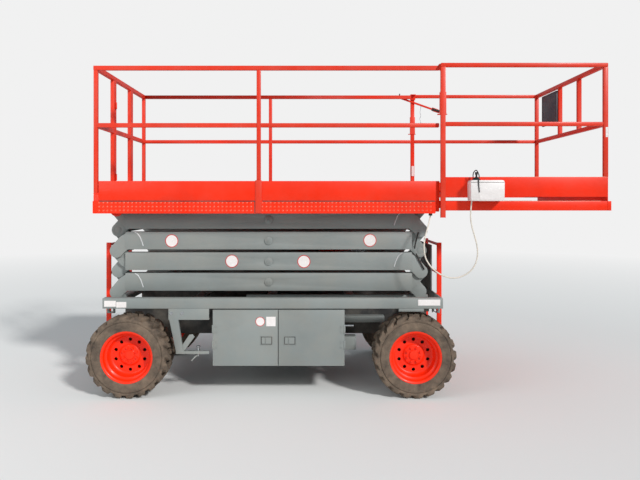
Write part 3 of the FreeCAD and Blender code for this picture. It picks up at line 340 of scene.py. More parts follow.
class Shell:
    """Points and faces gathered from several surfaces, for one mesh."""

    def __init__(self):
        self.points, self.faces, self.count = [], [], 0

    def add(self, points, faces):
        points = np.asarray(points, float).reshape(-1, 3)
        self.points.append(points)
        self.faces += (np.asarray(faces) + self.count).tolist()
        self.count += len(points)
        return self

    def grid(self, points, close_rows=False, close_columns=False):
        rows, columns = points.shape[:2]
        return self.add(points, quads(rows, columns, close_rows, close_columns))

    def fan(self, ring, middle):
        """Closes a ring of points to its middle."""
        count = len(ring)
        i = np.arange(count)
        spokes = np.stack([np.full(count, count), i, (i + 1) % count], 1)
        return self.add(np.vstack([ring, [middle]]), spokes)

    def box(self, low, high, cut):
        """A box with its edges and corners cut off at 45 degrees: its corners three times over, each
        time drawn in along two axes, under six faces, twelve edge strips and eight corners."""
        low, high = np.asarray(low, float), np.asarray(high, float)
        corner = np.array([[i, j, k] for i in (0, 1) for j in (0, 1) for k in (0, 1)])
        step = (4, 2, 1)
        points, faces = [], []
        for axis in range(3):
            inset = np.full(3, cut)
            inset[axis] = 0.0
            points.append(np.where(corner == 1, high - inset, low + inset))
            u, v = [other for other in range(3) if other != axis]
            for end in (0, step[axis]):
                faces.append([8 * axis + end + a * step[u] + b * step[v] for a, b in AROUND])
            for foot in [a * step[u] + b * step[v] for a, b in AROUND]:
                faces.append([8 * u + foot, 8 * u + foot + step[axis],
                              8 * v + foot + step[axis], 8 * v + foot])
        self.add(np.vstack(points), faces)
        start = self.count - 24
        self.faces += [[start + number, start + 8 + number, start + 16 + number] for number in range(8)]
        return self

    def slab(self, sign, xs, outs, zs, cut):
        """A box on one side of the lift: from where to where along X, outwards and up."""
        ys = sorted((sign * outs[0], sign * outs[1]))
        return self.box((xs[0], ys[0], zs[0]), (xs[1], ys[1], zs[1]), cut)

    def post(self, foot, top, radius, sides, cut=0.0):
        """A round bar between two points with flat ends, their edges cut by a small amount."""
        foot, top = np.asarray(foot, float), np.asarray(top, float)
        along = (top - foot) / np.linalg.norm(top - foot)
        across, over = frame_across(along)
        ring = np.cos(round_turn(sides)) * across + np.sin(round_turn(sides)) * over
        rows = [foot + (radius - cut) * ring, foot + cut * along + radius * ring,
                top - cut * along + radius * ring, top + (radius - cut) * ring]
        rows = rows if cut else [rows[0], rows[3]]
        self.grid(np.stack(rows), close_columns=True)
        return self.fan(rows[0], foot).fan(rows[-1], top)

    def stud(self, sign, x, z, outs, radius, sides, cut):
        """A bar that points outwards on one side of the lift."""
        return self.post((x, sign * outs[0], z), (x, sign * outs[1], z), radius, sides, cut)

    def hose(self, route, radius, sides=12, fine=6):
        """A round line through the points: rings that turn as little as they can from one to the next."""
        line = curve_through(route, fine)
        along = np.gradient(line, axis=0)
        along /= np.linalg.norm(along, axis=1, keepdims=True)
        across, rings = frame_across(along[0])[0], []
        turn = round_turn(sides)
        for spot, way in zip(line, along):
            across = across - way * (across @ way)
            across /= np.linalg.norm(across)
            rings.append(spot + radius * (np.cos(turn) * across + np.sin(turn) * np.cross(way, across)))
        self.grid(np.stack(rings), close_columns=True)
        return self.fan(rings[0], line[0]).fan(rings[-1], line[-1])

    def lip(self, sign, xs, out, z, radius):
        """A thin round edge along X on one side of the lift."""
        return self.hose([(x, sign * out, z) for x in xs], radius, sides=8, fine=1)

    def made(self, name, material, body, slot, angle=35.0):
        """The piece itself, which rides on a body of the frame."""
        mesh = bpy.data.meshes.new(name)
        mesh.from_pydata(np.vstack(self.points).tolist(), [], self.faces)
        mesh.materials.append(material)
        thing = in_scene(name, mesh)
        shaded(mesh, angle, merged=True)
        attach(thing, body)
        return thing


# Steel forms: each solid of a sub-part with its edges rounded a little, as rolled tube and plate are.
JOINED_UP = 2e-5
FLAT = math.radians(1.0)
SHARP = 28.0
THIN_SHARE = 0.3
OVERSHOOT = 1e-4


def solids_of(work):
    """The separate solids of a mesh, each as the list of its faces, always in the same order."""
    seen, solids = set(), []
    for first in work.faces:
        if first in seen:
            continue
        seen.add(first)
        found = [first]
        for face in found:
            for near in [near for edge in face.edges for near in edge.link_faces]:
                if near not in seen:
                    seen.add(near)
                    found.append(near)
        solids.append(found)
    return solids


def bevelled(faces, width):
    """One solid with its sharp edges rounded to a width in metres, or less where it is thin; where
    that leaves its box or tears it open, its plain edges stay."""
    solid = bmesh.new()
    corners = {}
    for corner in [corner for face in faces for corner in face.verts]:
        if corner not in corners:
            corners[corner] = solid.verts.new(corner.co)
    for face in faces:
        solid.faces.new([corners[corner] for corner in face.verts])
    before = np.array([corner.co for corner in solid.verts])
    low, high = before.min(0), before.max(0)
    bmesh.ops.dissolve_limit(solid, angle_limit=FLAT, verts=solid.verts, edges=solid.edges)
    sharp = [edge for edge in solid.edges
             if len(edge.link_faces) == 2 and edge.calc_face_angle(0.0) > math.radians(SHARP)]
    plain = solid.copy()
    bmesh.ops.bevel(solid, geom=sharp, offset=min(width, THIN_SHARE * float((high - low).min())),
                    segments=2, profile=0.5, affect="EDGES", clamp_overlap=True)
    after = np.array([corner.co for corner in solid.verts])
    torn = any(len(edge.link_faces) != 2 for edge in solid.edges)
    if torn or (after.max(0) > high + OVERSHOOT).any() or (after.min(0) < low - OVERSHOOT).any():
        solid.free()
        solid = plain
    bmesh.ops.recalc_face_normals(solid, faces=solid.faces)
    solid.verts.index_update()
    return solid


def rounded(name, width, material=None):
    """A node's form with each of its solids bevelled, in place of the node."""
    source = nodes[name].data
    whole = bmesh.new()
    whole.from_mesh(source)
    bmesh.ops.remove_doubles(whole, verts=whole.verts, dist=JOINED_UP)
    points, faces = [], []
    for group in solids_of(whole):
        solid = bevelled(group, width)
        count = len(points)
        points += [tuple(corner.co) for corner in solid.verts]
        faces += [[count + corner.index for corner in face.verts] for face in solid.faces]
        solid.free()
    whole.free()
    mesh = bpy.data.meshes.new("rounded_" + name)
    mesh.from_pydata(points, [], faces)
    mesh.materials.append(material or source.materials[0])
    thing = in_scene("rounded_" + name, mesh)
    shaded(mesh, SHARP)
    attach(thing, BODY_OF[name])
    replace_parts(thing, name)


# Tyres. The section runs from the outer bead round the tread to the inner bead.
TYRE_HALF = 0.1525
TYRE_TIP = 0.350
TYRE_STEPS = 132
TREAD_BASE = 0.3215
BEAD = 0.2056
LUGS = 20
LUG_REACH = 0.166
LUG_SLANT = math.radians(24)
LUG_TOP_HALF = 0.0265
LUG_FOOT_HALF = 0.0325
LUG_ENDS = ((0, 1, 4, 5), (1, 2, 3, 4))


def tyre_section():
    """Half a section mirrored: bead, bulging sidewall with a rim ring, shoulder and a crowned tread."""
    half = [(TYRE_HALF - 0.022, BEAD), (TYRE_HALF - 0.0170, 0.2120), (TYRE_HALF - 0.0135, 0.2170),
            (TYRE_HALF - 0.0050, 0.2235), (TYRE_HALF - 0.0015, 0.2350), (TYRE_HALF - 0.0005, 0.2600),
            (TYRE_HALF, 0.2820), (TYRE_HALF - 0.0018, 0.2950), (TYRE_HALF - 0.0070, 0.2985),
            (TYRE_HALF - 0.0070, 0.3020), (TYRE_HALF - 0.0020, 0.3050), (TYRE_HALF - 0.0020, 0.3140),
            (TYRE_HALF - 0.0045, 0.3200), (TYRE_HALF - 0.0140, 0.3235), (TYRE_HALF - 0.0400, 0.3225),
            (TYRE_HALF - 0.090, TREAD_BASE), (0.0, TREAD_BASE)]
    outer = curve_through(half, 3)
    inner = outer[::-1][1:] * (-1, 1)
    return np.vstack([outer, inner])


def lug(hand):
    """One bar, as angle, place along the axle and radius. Along it runs a slanting, slightly bowed line
    from the shoulder past the middle, and across it a bevelled trapezoid that narrows on the way. The
    angle is the distance across, lean included, over the radius."""
    travel = np.concatenate([[0.0, 0.012, 0.05, 0.10], np.linspace(0.16, 0.93, 7), [1.0]])
    along = hand * (TYRE_HALF - 0.0025 - LUG_REACH * travel)
    lean = LUG_REACH * math.tan(LUG_SLANT) * (travel + 0.22 * np.sin(math.pi * travel) - 0.5)
    foot = np.full(travel.shape, TREAD_BASE - 0.004)
    foot[:3] = (0.3020, 0.3060, 0.3130)
    tip = TYRE_TIP - 0.0035 * (np.abs(along) / TYRE_HALF) ** 4
    tip[:3] = (0.3200, 0.3345, 0.3430)
    tip[-1] -= 0.006
    across = np.array([-1.0, -0.95, -0.86, 0.86, 0.95, 1.0])
    height = np.array([0.0, 0.86, 1.0, 1.0, 0.86, 0.0])
    half = LUG_FOOT_HALF + (LUG_TOP_HALF - LUG_FOOT_HALF) * height
    narrowing = 1.06 - 0.34 * travel[:, None]
    radius = foot[:, None] + (tip - foot)[:, None] * height
    turn = (lean[:, None] + narrowing * across * half) / radius
    return np.stack([turn, np.broadcast_to(along[:, None], turn.shape), radius], -1)


def tyre_shell():
    """The carcass, and bars set across both shoulders in turn."""
    shell = Shell().grid(turned(tyre_section(), TYRE_STEPS), close_rows=True, close_columns=True)
    for hand, start in ((1, 0.0), (-1, 0.5)):
        turn, along, radius = np.moveaxis(lug(hand), -1, 0)
        for number in range(LUGS):
            angle = turn + 2 * math.pi * (number + start) / LUGS
            bar = np.stack([radius * np.sin(angle), along, radius * np.cos(angle)], -1)
            shell.grid(bar).add(bar[0], LUG_ENDS).add(bar[-1], LUG_ENDS)
    return shell


# Wheels. Along the axle, outwards: the disc's face and its back; then radii on that face.
DISC_FACE = 0.0225
DISC_BACK = 0.0105
VENTS = 10
VENT_CIRCLE = 0.130
VENT_RADIUS = 0.015
WEB_OUTER = 0.152
WEB_INNER = 0.106
ROUND_STEPS = 120
NUTS = 8
NUT_CIRCLE = 0.062


def rim_flange(hand):
    """A rolled lip and the inside of the barrel, from the tip in to the well."""
    points = [(0.1325, 0.2050), (0.1345, 0.2080), (0.1370, 0.2160), (0.1385, 0.2205),
              (0.1420, 0.2225), (0.1455, 0.2222), (0.1475, 0.2200), (0.1470, 0.2160),
              (0.1435, 0.2090), (0.1400, 0.2030), (0.1340, 0.1995), (0.1120, 0.1985),
              (0.1075, 0.1965), (0.0990, 0.1850), (0.0950, 0.1785), (0.0880, 0.1765)]
    return [(hand * along, radius) for along, radius in points]


def web_patch(number):
    """One vent's share of the disc: rings of points from the vent's edge out to the share's own
    edge, which is two arcs about the axle and two radial lines; each ring lies part of the way."""
    share = 2 * math.pi / VENTS
    arc = np.linspace(-share / 2, share / 2, ROUND_STEPS // VENTS + 1)
    spoke = np.linspace(WEB_OUTER, WEB_INNER, 6)[1:-1]
    loop = [(a, WEB_OUTER) for a in arc] + [(share / 2, r) for r in spoke]
    loop += [(a, WEB_INNER) for a in arc[::-1]] + [(-share / 2, r) for r in spoke[::-1]]
    loop = np.array(loop)
    edge = loop[:, 1:] * np.stack([np.sin(loop[:, 0]), np.cos(loop[:, 0])], 1)
    centre = np.array([0.0, VENT_CIRCLE])
    ray = edge - centre
    hole = centre + VENT_RADIUS * ray / np.linalg.norm(ray, axis=1, keepdims=True)
    rings = [hole + (edge - hole) * t for t in (0.0, 0.12, 0.55, 1.0)]
    turn = number * share
    spin = np.array([[math.cos(turn), -math.sin(turn)], [math.sin(turn), math.cos(turn)]])
    return [ring @ spin for ring in rings]


def rim_shell():
    """The barrel with both flanges and the disc's edge, the domed hub, the web with its vents, and
    the wheel nuts."""
    shell = Shell()
    front = [(0.0460, 0.1762), (0.0400, 0.1745), (0.0300, 0.1650), (0.0245, 0.1580),
             (DISC_FACE, WEB_OUTER)]
    back = [(DISC_BACK, WEB_OUTER), (0.0105, 0.1690), (0.0075, 0.1745), (0.0, 0.1762)]
    under = [(-0.1080, 0.2050), (-0.1030, 0.2020), (-0.0920, 0.1850), (-0.0860, 0.1835),
             (0.0860, 0.1835), (0.0920, 0.1850), (0.1030, 0.2020), (0.1080, 0.2050)]
    barrel = back + rim_flange(-1)[::-1] + under + rim_flange(1) + front
    hub = [(DISC_FACE, WEB_INNER), (0.0240, 0.0950), (0.0285, 0.0885), (0.0350, 0.0840),
           (0.0365, 0.0800), (0.0365, 0.0420), (0.0380, 0.0400), (0.0450, 0.0390),
           (0.0480, 0.0365), (0.0490, 0.0300), (0.0490, 0.0001)]
    seat = DISC_BACK + 0.0003
    plug = [(seat, 0.0001), (seat, 0.0970), (DISC_BACK, 0.0985), (DISC_BACK, WEB_INNER)]
    for profile in (barrel, hub, plug):
        shell.grid(turned(profile, ROUND_STEPS), close_rows=True)
    for number in range(VENTS):
        rings = web_patch(number)
        layers = [(ring, DISC_FACE) for ring in rings[::-1]] + [(ring, DISC_BACK) for ring in rings]
        layers[len(rings) - 1] = (rings[0], DISC_FACE - 0.001)
        shell.grid(np.stack([np.stack([ring[:, 0], np.full(len(ring), along), ring[:, 1]], 1)
                             for ring, along in layers]), close_columns=True)
    nut = turned([(0.0360, 0.0001), (0.0360, 0.0125), (0.0470, 0.0125), (0.0490, 0.0110),
                  (0.0490, 0.0075), (0.0530, 0.0070), (0.0540, 0.0055), (0.0540, 0.0001)], 6)
    for number in range(NUTS):
        turn = 2 * math.pi * (number + 0.5) / NUTS
        spot = NUT_CIRCLE * np.array([math.sin(turn), 0.0, math.cos(turn)])
        shell.grid(nut + spot, close_rows=True)
    return shell


def vent_shade_ring():
    """A dark flat ring inside the wheel, behind the vents, clear of the stub axle: painted shade, so that
    the vents look into the dark of the wheel's inside.
    """
    section = [(-0.030, 0.101), (-0.030, 0.172), (-0.033, 0.172), (-0.033, 0.101), (-0.030, 0.101)]
    return Shell().grid(turned(section, 72), close_rows=True)


def on_wheel(shell, name, end, side, material, slot):
    """A shell that was made on an axle through the origin, moved to its wheel and made a piece."""
    low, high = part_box("tyre_%s_%s" % (end, side))
    outward = (1, dict(SIDES)[side], 1)
    shell.points = [points * outward + np.array((low + high) / 2) for points in shell.points]
    return shell.made("%s_%s_%s" % (name, end, side), material, "wheel_%s_%s" % (end, side), slot)


for end in ("front", "rear"):
    for side in ("near", "far"):
        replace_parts(on_wheel(tyre_shell(), "lugged_tyre", end, side, TYRE, "tyre_rubber"),
                    "tyre_%s_%s" % (end, side))
        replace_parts(on_wheel(rim_shell(), "pressed_rim", end, side, ORANGE, "orange_paint"),
                    "rim_%s_%s" % (end, side))
        # A dark ring of painted shade behind each wheel's vents.
        on_wheel(vent_shade_ring(), "vent_shade_ring", end, side, DARK, "dark_metal")


# The spine beams' dark_metal slot makes them near black: painted shade under the chassis frame.
ROUNDED = {  # node: how wide its edges are rounded, in metres
    "chassis_frame": 0.004, "spine_beams": 0.004, "cradles": 0.0025, "front_supports": 0.003,
    "cabinet_near": 0.004, "cabinet_far": 0.004, "door_near_rear": 0.004, "door_near_front": 0.004,
    "door_far_rear": 0.004, "door_far_front": 0.004, "ladder_front": 0.003, "ladder_rear": 0.003,
    "deck_frame": 0.004, "deck_side_beams": 0.005, "toe_boards": 0.001, "main_posts": 0.006,
    "main_rails": 0.006, "gate": 0.005, "extension_posts": 0.005, "extension_side_rails": 0.006,
    "extension_front_rails": 0.005, "extension_side_beams": 0.004, "extension_toe_boards": 0.001,
    "extension_front": 0.002, "front_axle": 0.006, "knuckle_near": 0.004, "knuckle_far": 0.004,
    "rear_axle": 0.006, "engine_block": 0.012, "steering_cylinder": 0.002, "chassis_tracks": 0.003,
    "deck_tracks": 0.003, "deck_floor": 0.002, "extension_floor": 0.002, "lift_barrel": 0.003,
    "lift_rod": 0.002, "steering_rod": 0.003, "cord_clip": 0.003}
ROUNDED.update({"arms_%s_%s" % (level, layer): 0.004
                for level in LEVELS for layer in ("outer", "inner")})
for name, width in ROUNDED.items():
    rounded(name, width, GREY if name == "front_supports" else None)

# The rear lower corner of each front tie-down is cut back, clear of a tyre at full lock.
CORNER_FROM = 1.390
CORNER_TO = 1.405
CORNER_UNDER = 0.698
CORNER_CUT = 0.016
for point in bpy.data.meshes["rounded_chassis_frame"].vertices:
    if CORNER_FROM < point.co.x < CORNER_TO and point.co.z < CORNER_UNDER:
        point.co.z += CORNER_CUT


# Blank round and square plates, on the near side alone.
ARM_FACE = 0.585
CHASSIS_FACE = 0.800
DISC_RADIUS = 0.058
DISCS = [("third", -0.9036, 1.316), ("third", 0.862, 1.321),
         ("second", -0.3678, 1.135), ("second", 0.2739, 1.132)]
RAIL_PLATES = [((-1.436, -1.336), (0.765, 0.816)), ((-1.332, -1.246), (0.757, 0.806)),
               ((1.256, 1.446), (0.775, 0.826))]


def round_plate(name, x, face, z, radius, body):
    """A thin blank disc with a raised coloured rim, standing on a face that looks towards -Y."""
    disc = [(0.0002, radius * 0.90), (-0.0008, radius * 0.90), (-0.0008, 0.0001)]
    rim = [(0.0002, radius * 0.88), (-0.0012, radius * 0.88), (-0.0012, radius), (0.0002, radius)]
    Shell().grid(turned(disc, 48) + (x, face, z), close_rows=True).made(
        name + "_plate", WHITE, body, "white_plastic")
    Shell().grid(turned(rim, 48) + (x, face, z), close_rows=True, close_columns=True).made(
        name + "_rim", RED, body, "orange_paint")


for number, (level, x, z) in enumerate(DISCS):
    round_plate("arm_disc_%d" % number, x, -ARM_FACE, z, DISC_RADIUS, "arms_%s_outer" % level)
round_plate("door_disc", -0.0984, -CHASSIS_FACE, 0.638, 0.040, "door_near_rear")
Shell().slab(-1, (-0.0465, 0.0340), (CHASSIS_FACE - 0.0002, CHASSIS_FACE + 0.0012),
             (0.598, 0.679), 0.0005).made("door_square_plate", WHITE, "door_near_rear", "white_plastic")
plates = Shell()
for xs, zs in RAIL_PLATES:
    plates.slab(-1, xs, (CHASSIS_FACE - 0.0002, CHASSIS_FACE + 0.0014), zs, 0.0005)
plates.made("rail_plates", WHITE, "chassis", "white_plastic")


# Doors: recessed paddle latches beside the middle seam, and hinge leaves over the barrels.
LATCH_ACROSS = {"rear": (-0.097, 0.010), "front": (0.1018, 0.2089)}
LATCH_LOW = 0.4356
LATCH_TOP = 0.5145
BEZEL_WIDE = 0.006
PADDLE_HIGH = (0.447, 0.503)
HINGED_AT = {"rear": (-0.505, 1), "front": (0.625, -1)}
LEAF_FEET = (0.404, 0.537)
LEAF_HIGH = 0.070


def latch(side, sign, which):
    """A bezel round a dark well, with a paddle plate that hangs in it by a pin."""
    low, high = LATCH_ACROSS[which]
    inner = (LATCH_LOW + BEZEL_WIDE, LATCH_TOP - BEZEL_WIDE)
    bezel, well, paddle = Shell(), Shell(), Shell()
    for xs, zs in (((low, high), (inner[1], LATCH_TOP)), ((low, high), (LATCH_LOW, inner[0])),
                   ((low, low + BEZEL_WIDE), inner), ((high - BEZEL_WIDE, high), inner)):
        bezel.slab(sign, xs, (CHASSIS_FACE - 0.0005, CHASSIS_FACE + 0.003), zs, 0.001)
    well.slab(sign, (low + BEZEL_WIDE, high - BEZEL_WIDE),
              (CHASSIS_FACE - 0.0005, CHASSIS_FACE + 0.0005), inner, 0.0002)
    middle = low + 0.55 * (high - low)
    paddle.slab(sign, (middle - 0.014, high - 0.012), (CHASSIS_FACE + 0.0006, CHASSIS_FACE + 0.004),
                PADDLE_HIGH, 0.001)
    paddle.slab(sign, (low + 0.012, middle - 0.020), (CHASSIS_FACE + 0.0006, CHASSIS_FACE + 0.002),
                PADDLE_HIGH, 0.0008)
    pin = (middle - 0.017, sign * (CHASSIS_FACE + 0.002))
    paddle.post((*pin, PADDLE_HIGH[0] - 0.004), (*pin, PADDLE_HIGH[1] + 0.004), 0.0022, 12)
    for shell, name, material, slot in ((bezel, "bezel", GREY, "grey_paint"),
                                        (well, "well", DARK, "dark_metal"),
                                        (paddle, "paddle", GREY, "grey_paint")):
        shell.made("latch_%s_%s_%s" % (name, side, which), material, "door_%s_%s" % (side, which), slot)


def hinge_leaves(side, sign, which):
    """Two flat leaves with two screws each, beside the door's hinge barrels."""
    edge, inward = HINGED_AT[which]
    leaves = Shell()
    for low in LEAF_FEET:
        xs = sorted((edge + inward * 0.004, edge + inward * 0.038))
        leaves.slab(sign, xs, (CHASSIS_FACE - 0.0005, CHASSIS_FACE + 0.0025), (low, low + LEAF_HIGH),
                    0.0008)
        for z in (low + 0.014, low + LEAF_HIGH - 0.014):
            leaves.stud(sign, edge + inward * 0.026, z, (CHASSIS_FACE + 0.0020, CHASSIS_FACE + 0.0062),
                        0.0058, 6, 0.0008)
    leaves.made("hinge_leaves_%s_%s" % (side, which), GREY, "door_%s_%s" % (side, which), "grey_paint")


for side, sign in SIDES:
    for which in ("rear", "front"):
        latch(side, sign, which)
        hinge_leaves(side, sign, which)


# Skirt: three rows of pressed dimples on each side, the folded lip along its lower edge, and dark
# strips: a painted shadow under the toe board, and the dark joint where a panel ends at the middle post.
DIMPLE_FACE = 0.8058
DIMPLE_RADIUS = 0.0095
DIMPLE_HIGH = 0.0042
DIMPLE_PITCH = 0.0352
DIMPLE_ROWS = (1.655, 1.622, 1.589)
DIMPLED = ((-1.478, -0.145), (-0.080, 1.392))
SKIRT_SHADE_AND_JOINTS = (((-1.478, -0.142), (1.6660, 1.6740)), ((-0.078, 1.400), (1.6660, 1.6740)),
                ((-0.147, -0.141), (1.5700, 1.6660)))


def dimples(sign):
    """Low round domes: height falls with the square of the distance from each dome's middle."""
    turn = round_turn(10).T
    share = np.array([[1.0], [0.72], [0.38]])
    ring_x = share * DIMPLE_RADIUS * np.cos(turn)
    ring_z = share * DIMPLE_RADIUS * np.sin(turn)
    out = np.broadcast_to(DIMPLE_FACE + DIMPLE_HIGH * (1 - share ** 2), ring_x.shape)
    shell = Shell()
    for place in np.concatenate([np.arange(start, stop, DIMPLE_PITCH) for start, stop in DIMPLED]):
        for height in DIMPLE_ROWS:
            dome = np.stack([ring_x + place, sign * out, ring_z + height], -1)
            shell.grid(dome, close_columns=True)
            shell.fan(dome[-1], (place, sign * (DIMPLE_FACE + DIMPLE_HIGH), height))
    return shell


for side, sign in SIDES:
    # Dimples in paler rubbed orange, which is also their painted highlight.
    dimples(sign).made("skirt_dimples_" + side, RUBBED_HIGHLIGHT, "platform", "orange_paint", angle=80.0)
    Shell().lip(sign, (-1.530, 0.0, 1.400), 0.8062, 1.5665, 0.0022).made(
        "skirt_lips_" + side, ORANGE, "platform", "orange_paint")
    # Dark strips: a painted shadow under the toe board, and the joint at the middle post.
    shade_joint = Shell()
    for xs, zs in SKIRT_SHADE_AND_JOINTS:
        shade_joint.slab(sign, xs, (0.8030, 0.8070), zs, 0.0005)
    shade_joint.made("skirt_shade_joint_" + side, DARK, "platform", "dark_metal")


# Deck floors: raised lozenges, alternately leaning one way and the other.
TREAD_PITCH = 0.046
LOZENGE_LONG = 0.0135
LOZENGE_WIDE = 0.0038
LOZENGE_HIGH = 0.0016
CREST_SHARE = 0.62
COVERED_FROM = -0.10  # from here on the extension's floor slides over the deck


def tread(low, high, top):
    """Lozenges on a square grid. A lozenge's corners lie a length or a width from its middle, along
    and across its diagonal, and its crest's corners at a share of that, a little higher."""
    columns = int((high[0] - low[0]) / TREAD_PITCH)
    rows = int((high[1] - low[1]) / TREAD_PITCH)
    i, j = [a.ravel() for a in np.meshgrid(np.arange(columns), np.arange(rows), indexing="ij")]
    middle = np.stack([low[0] + (i + 0.5) * TREAD_PITCH, low[1] + (j + 0.5) * TREAD_PITCH], 1)
    lean = np.where((i + j) % 2 == 0, 1.0, -1.0) * math.pi / 4
    way = np.stack([np.cos(lean), np.sin(lean)], 1)
    cross = way[:, ::-1] * (-1, 1)
    reach = [LOZENGE_LONG * way, LOZENGE_WIDE * cross, -LOZENGE_LONG * way, -LOZENGE_WIDE * cross]
    rings = [np.stack([np.column_stack([middle + share * r, np.full(len(r), height)]) for r in reach], 1)
             for share, height in ((1.0, top), (CREST_SHARE, top + LOZENGE_HIGH))]
    points = np.concatenate(rings, 1)
    faces = np.array([[0, 1, 5, 4], [1, 2, 6, 5], [2, 3, 7, 6], [3, 0, 4, 7], [4, 5, 6, 7]])
    faces = (faces[None] + 8 * np.arange(len(points))[:, None, None]).reshape(-1, 4)
    return Shell().add(points, faces)


deck_low, deck_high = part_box("deck_floor")
tread((deck_low[0] + 0.06, deck_low[1] + 0.04), (COVERED_FROM, deck_high[1] - 0.04),
      deck_high[2]).made("deck_tread", ORANGE, "platform", "orange_paint")
roll_low, roll_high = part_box("extension_floor")
tread((roll_low[0] + 0.02, roll_low[1] + 0.02), (roll_high[0] - 0.02, roll_high[1] - 0.02),
      roll_high[2]).made("extension_tread", ORANGE, "extension", "orange_paint")


# Scissor arms: weld beads in light grey, a painted highlight where end plates lap the beams; pin
# retainers; two short hoses.
PIVOT_LOW = 0.858
LEVEL_RISE = 0.184
ARM_MIDDLE = -0.040
BEAD_ROUTE = ((1.192, 0.168), (1.165, 0.150), (1.140, 0.110), (1.117, 0.044))
ARM_HOSES = {
    "third": [(1.292, -0.592, 1.392), (1.286, -0.594, 1.372), (1.272, -0.594, 1.320),
              (1.262, -0.594, 1.275), (1.258, -0.592, 1.247)],
    "second": [(1.272, -0.592, 1.204), (1.284, -0.594, 1.178), (1.318, -0.594, 1.112),
               (1.344, -0.592, 1.062)]}
for side, sign in SIDES:
    for level in ("third", "low", "second", "top"):
        number = LEVELS.index(level)
        end = -1 if number % 2 == 0 else 1
        foot = PIVOT_LOW + number * LEVEL_RISE
        Shell().hose([(ARM_MIDDLE + end * reach, sign * ARM_FACE, foot + rise)
                      for reach, rise in BEAD_ROUTE], 0.0050, sides=10).made(
            "arm_bead_%s_%s" % (level, side), WELD_HIGHLIGHT, "arms_%s_outer" % level, "grey_paint")
    for number, level in enumerate(LEVELS):
        pin = (ARM_MIDDLE, PIVOT_LOW + (number + 0.5) * LEVEL_RISE)
        cap = Shell().stud(sign, *pin, (0.5929, 0.5970), 0.020, 24, 0.0015)
        cap.stud(sign, *pin, (0.5965, 0.6040), 0.0055, 6, 0.001)
        cap.made("centre_cap_%s_%s" % (level, side), GREY, "arms_%s_inner" % level, "grey_paint")
for level, route in ARM_HOSES.items():
    Shell().hose(route, 0.0065).made("%s_arm_hose" % level, BLACK, "arms_%s_outer" % level,
                                     "black_rubber")


# Control box: lid seam, blank plate, strap, and the joystick with its folded boot and round knob.
def control_box_trim():
    low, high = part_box("control_box")
    Shell().box((low[0] + 0.004, low[1] - 0.0015, high[2] - 0.020),
                (high[0] - 0.004, high[1], high[2] - 0.0165), 0.0005).made(
        "box_seam", DARK, "extension", "dark_metal")
    Shell().box((low[0] + 0.074, low[1] - 0.0012, low[2] + 0.016),
                (low[0] + 0.242, low[1] + 0.0003, low[2] + 0.052), 0.0004).made(
        "box_blank_plate", WHITE, "extension", "white_plastic")
    x, front = low[0] + 0.068, low[1]
    Shell().hose([(x + 0.004, front - 0.003, low[2] + 0.072), (x, front - 0.005, low[2] + 0.110),
                  (x - 0.004, front - 0.005, high[2] - 0.010),
                  (x + 0.002, front - 0.002, high[2] + 0.035),
                  (x - 0.012, front + 0.030, high[2] + 0.082),
                  (x - 0.030, front + 0.060, high[2] + 0.060),
                  (x - 0.030, front + 0.075, high[2] + 0.001)], 0.0042, sides=10).made(
        "box_strap", BLACK, "extension", "black_rubber")


def joystick():
    """A profile of (height, radius) points turned about the stick's upright axis."""
    low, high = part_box("joystick")
    foot = np.array([(low[0] + high[0]) / 2, (low[1] + high[1]) / 2, low[2]])
    profile = [(0.0, 0.034), (0.003, 0.035), (0.006, 0.030), (0.009, 0.031), (0.013, 0.024),
               (0.016, 0.025), (0.021, 0.016), (0.026, 0.012), (0.030, 0.0075), (0.044, 0.007),
               (0.046, 0.0105), (0.056, 0.0120), (0.064, 0.0118), (0.069, 0.0085), (0.0700, 0.0001)]
    boot = Shell().grid(turned(profile, 32)[..., [0, 2, 1]] + foot, close_rows=True)
    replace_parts(boot.made("joystick_boot", BLACK, "extension", "black_rubber"), "joystick")


rounded("control_box", 0.006)
control_box_trim()
joystick()


# Extension lever: its flat bar, a ribbed grip at the near end, a tip at the far one, and a wire.
def lever_trim():
    """The grip is an oval that swells and shrinks along a short line: its radius goes with the square
    of a sine of the way along."""
    low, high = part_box("extension_lever")
    across = (low[1] + high[1]) / 2
    start = np.array([high[0] - 0.080, across, low[2] + 0.044])
    stop = np.array([high[0] + 0.004, across, low[2] + 0.018])
    way = (stop - start) / np.linalg.norm(stop - start)
    side_way, over_way = frame_across(way)
    turn = round_turn(24)
    share = np.linspace(0, 1, 25)[:, None, None]
    radius = 0.0225 + 0.0018 * np.sin(share * 12 * math.pi) ** 2
    oval = 0.72 * np.cos(turn) * side_way + np.sin(turn) * over_way
    rings = start + (stop - start) * share + radius * oval
    Shell().grid(rings, close_columns=True).fan(rings[0], start).fan(rings[-1], stop).made(
        "lever_grip", BLACK, "extension", "black_rubber")
    tip = (low[0] + 0.004, across)
    Shell().post((*tip, high[2] - 0.004), (*tip, high[2] + 0.032), 0.0065, 20, 0.003).made(
        "lever_tip", BLACK, "extension", "black_rubber")
    x = low[0] + 0.2355
    Shell().hose([(x, across, 2.738), (x + 0.004, across, 2.700), (x - 0.005, across, 2.655),
                  (x + 0.003, across, 2.612), (x - 0.008, across, 2.578), (x + 0.002, across, 2.545),
                  (x + 0.001, across, 2.515)], 0.0022, sides=8).made(
        "lever_wire", STEEL, "extension", "bright_steel")


rounded("extension_lever", 0.003)
lever_trim()


# Document box: a flat moulded case with a bead round the face that looks into the platform.
def case_bead():
    inset = 0.012
    low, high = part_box("document_box")
    ys, zs = (low[1] + inset, high[1] - inset), (low[2] + inset, high[2] - inset)
    loop = [(low[0], ys[a], zs[b]) for a, b in AROUND]
    bead = Shell()
    for foot, top in zip(loop, loop[1:] + loop[:1]):
        bead.post(foot, top, 0.0035, 12, 0.001)
    bead.made("case_bead", PLUM, "extension", "dark_plastic")


